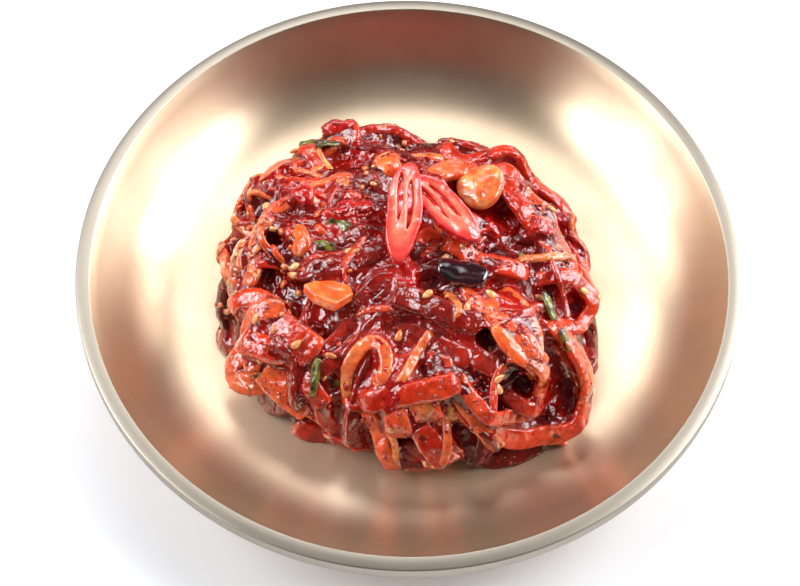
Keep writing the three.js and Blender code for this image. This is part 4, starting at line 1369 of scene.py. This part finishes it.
def ovalOutline(long, wide, x=0.0, y=0.0, count=72, wave=0.0):
    points = []
    for turn in (2 * math.pi * k / count for k in range(count)):
        uneven = 1 + wave * math.cos(3 * turn + 1)
        points.append((x + long / 2 * math.cos(turn) * uneven, y + wide / 2 * math.sin(turn) * uneven))
    return points


def chiliSlice(name, node, seed):
    long, wide, thick = toppingForms[name]["size"]
    outlines = [ovalOutline(long, wide)]
    for side in (-1, 1):
        x, y = (side * 0.04 - 0.1) * long, side * 0.15 * wide
        outlines.append(ovalOutline(0.5 * long, 0.16 * wide, x, y, 40, 0.1))
    points, faces = plate(outlines, thick, 0.55, 0.2)
    ground, groundFaces = plate([ovalOutline(0.6 * long, 0.5 * wide, -0.1 * long, 0, 48)], 0.9, 0.3, 0.25)
    ground[:, 2] -= 0.35
    faces += [[len(points) + k for k in face] for face in groundFaces]
    onGround = np.arange(len(points) + len(ground)) >= len(points)
    points = np.concatenate((points, ground))
    fromMiddle = np.hypot(points[:, 0] / (long / 2), points[:, 1] / (wide / 2))
    rind = 1 - np.clip((1 - fromMiddle) * wide / 2 / 1.9, 0, 1)
    beside = np.exp(-((np.abs(points[:, 1]) / wide - 0.13) / 0.07) ** 2)
    hollow = beside * np.clip(1 - np.abs(points[:, 0] / long + 0.1) / 0.3, 0, 1)
    hollow[onGround] = 0
    points[:, 2] -= 0.8 * hollow * (points[:, 2] > 0)  # the seed space lies lower than the wall
    points = bumpy(points, 3.2, 0.3, seed, (0, 0, -30.0))
    points[:, 2] -= points[:, 0] ** 2 / (2 * chiliBend)
    points[:, 1] += 0.25 * np.sin(points[:, 0] * 0.35 + seed)
    rind = np.where(onGround, 0.93, np.clip(rind - 0.5 * hollow, 0, 1))
    addTopping(name, node, points, faces, chiliRed, rind)


def carrotSlice():
    long, wide, thick = toppingForms["carrotSlice"]["size"]
    corners = ((-1, 0.1), (-0.55, 0.72), (0.25, 1), (0.8, 0.62), (1, -0.05), (0.35, -1), (-0.5, -0.62))
    points, faces = plate([[(x * long / 2, y * wide / 2) for x, y in corners]], thick, 0.35, 0.2)
    points = bumpy(points, 2.4, 0.35, 3, (0, 0, -20.0))
    points[:, 2] += 0.012 * points[:, 0] ** 2 - 0.01 * points[:, 1] ** 2
    addTopping("carrotSlice", "carrot_slice", points, faces, food["carrot"])


def garlicSlice():
    long, wide, thick = toppingForms["garlicSlice"]["size"]
    points, faces = ballPoints(5)
    uneven = 1 + 0.06 * np.cos(3 * np.arctan2(points[:, 1], points[:, 0]) + 1)
    points = np.stack((points[:, 0] * uneven * long / 2, points[:, 1] * uneven * wide / 2,
                       squarish(points[:, 2], 0.7) * thick / 2), axis=1)
    points = bumpy(points, 3.0, 0.25, 8, (0, 0, -12.0))
    addTopping("garlicSlice", "garlic_slice", points, faces, food["garlic"])


def darkPiece():
    long, wide, thick = toppingForms["darkPiece"]["size"]
    rings, sides, points = 44, 28, []
    for along in (i / (rings - 1) for i in range(rings)):
        close = math.sqrt(max(0.0, 1 - (1 - min(1, min(along, 1 - along) * 12)) ** 2))
        half = wide / 2 * (0.45 + 0.55 * math.sin(math.pi * along) ** 0.7) * (0.15 + 0.85 * close)
        halfThick = thick / 2 * (0.2 + 0.8 * close)
        for turn in (2 * math.pi * k / sides for k in range(sides)):
            y = float(squarish(math.cos(turn), 0.7)) * half
            z = float(squarish(math.sin(turn), 0.5)) * halfThick
            points.append(((along - 0.5) * long, y, z - 0.05 * y * y + 0.1))
    points = bumpy(np.array(points), 3.4, 0.4, 4, (0, 0, -14.0))
    addTopping("darkPiece", "dark_piece", points, ringFaces(rings, sides), food["dark skin"])


chiliSlice("redChiliSlice1", "red_chili_slice_1", 1)
chiliSlice("redChiliSlice2", "red_chili_slice_2", 4)
carrotSlice()
garlicSlice()
darkPiece()
print("toppings set down")


# ---- floor, light and surroundings ----

studio = {
    "floor": colour(250, 250, 252),
    "surroundings": (0.94, 0.95, 1.0, 1.0),
    "surroundingsStrength": 0.05,
    # each: heading and height in degrees, metres away, width, height, brightness, soft edge, panes, colour
    "boxes": (
        (14, 41, 1.1, 1.4, 0.92, 14.0, 0.5, 4, (0.95, 0.97, 1.0)),
        (31, 14, 1.15, 1.3, 0.5, 8.5, 0.7, 1, (0.95, 0.97, 1.0)),
        (179, 38, 1.1, 1.35, 0.87, 14.0, 0.5, 4, (0.95, 0.97, 1.0)),
        (118, 49, 1.1, 0.8, 0.7, 4.0, 0.9, 1, (0.95, 0.97, 1.0)),
        (90, 52, 1.1, 0.9, 0.8, 2.6, 0.8, 1, (0.96, 0.97, 1.0)),
        (92, 58, 1.1, 0.34, 0.26, 6.0, 0.25, 1, (0.93, 0.96, 1.0)),
        (-80, 76, 1.2, 1.2, 0.8, 0.25, 0.9, 1, (0.97, 0.98, 1.0)),
    ),
    "bars": 0.28,  # how much of a box the bars between its panes take
}


def makeFloor(settings):
    corners = [(x, y, -0.0002) for x, y in ((-4, -4), (4, -4), (4, 4), (-4, 4))]
    floor = makeMesh("tableTop", corners, [(0, 1, 2, 3)])
    material, shader, place = newMaterial("pale table")
    shade = ranged(noise(place, 3, 2), 0.3, 0.7, 0.0, 0.04)
    feed(shader.inputs["Base Color"], mixColours(shade, settings["floor"], (0.7, 0.72, 0.75, 1)))
    feed(shader.inputs["Roughness"], 0.6)
    floor.data.materials.append(material)


def boxGlow(tree, softEdge, panes, bars):
    # How bright a box is over its face: softer to its edge, and darker at the bars between its panes.
    face = wire(tree, "ShaderNodeNewGeometry", output="Parametric")
    offCentre = vectorMaths("MULTIPLY", vectorMaths("SUBTRACT", face, (0.5, 0.5, 0)), (2, 2, 0))
    glow = ranged(vectorMaths("LENGTH", offCentre), 1 - softEdge, 1.0, 1.0, 0.05, smooth=True)
    if panes > 1:
        for part, count in zip(parted(face), (panes, max(2, panes - 1))):
            fromBar = maths("PINGPONG", part * count, 0.5)
            glow = glow * ranged(fromBar, bars / 2 - 0.04, bars / 2 + 0.04, 0.1, 1.0)
    return glow


def makeLights(settings):
    for number, box in enumerate(settings["boxes"]):
        heading, rise, away, width, height, bright, softEdge, panes, tint = box
        light = bpy.data.lights.new("softbox%d" % (number + 1), "AREA")
        light.shape, light.size, light.size_y = "ELLIPSE", width, height
        light.energy, light.color = bright * math.pi * width * height * math.pi / 4, tint
        light.use_nodes = True
        glow = boxGlow(light.node_tree, softEdge, panes, settings["bars"])
        feed(light.node_tree.nodes["Emission"].inputs["Strength"], glow)
        direction = Vector((cosine(rise) * cosine(heading), cosine(rise) * sine(heading), sine(rise)))
        place = Vector((0, 0, 0.02)) + direction * away
        turned = direction.to_track_quat("Z", "Y").to_matrix().to_4x4()
        addObject(light.name, light).matrix_world = Matrix.Translation(place) @ turned


def makeSurroundings(settings):
    world = bpy.data.worlds.new("studio")
    world.use_nodes = True
    back = world.node_tree.nodes["Background"]
    feed(back.inputs["Color"], settings["surroundings"])
    feed(back.inputs["Strength"], settings["surroundingsStrength"])
    bpy.context.scene.world = world


makeFloor(studio)
makeLights(studio)
makeSurroundings(studio)
bpy.context.scene.view_settings.view_transform = "Standard"
print("studio set")
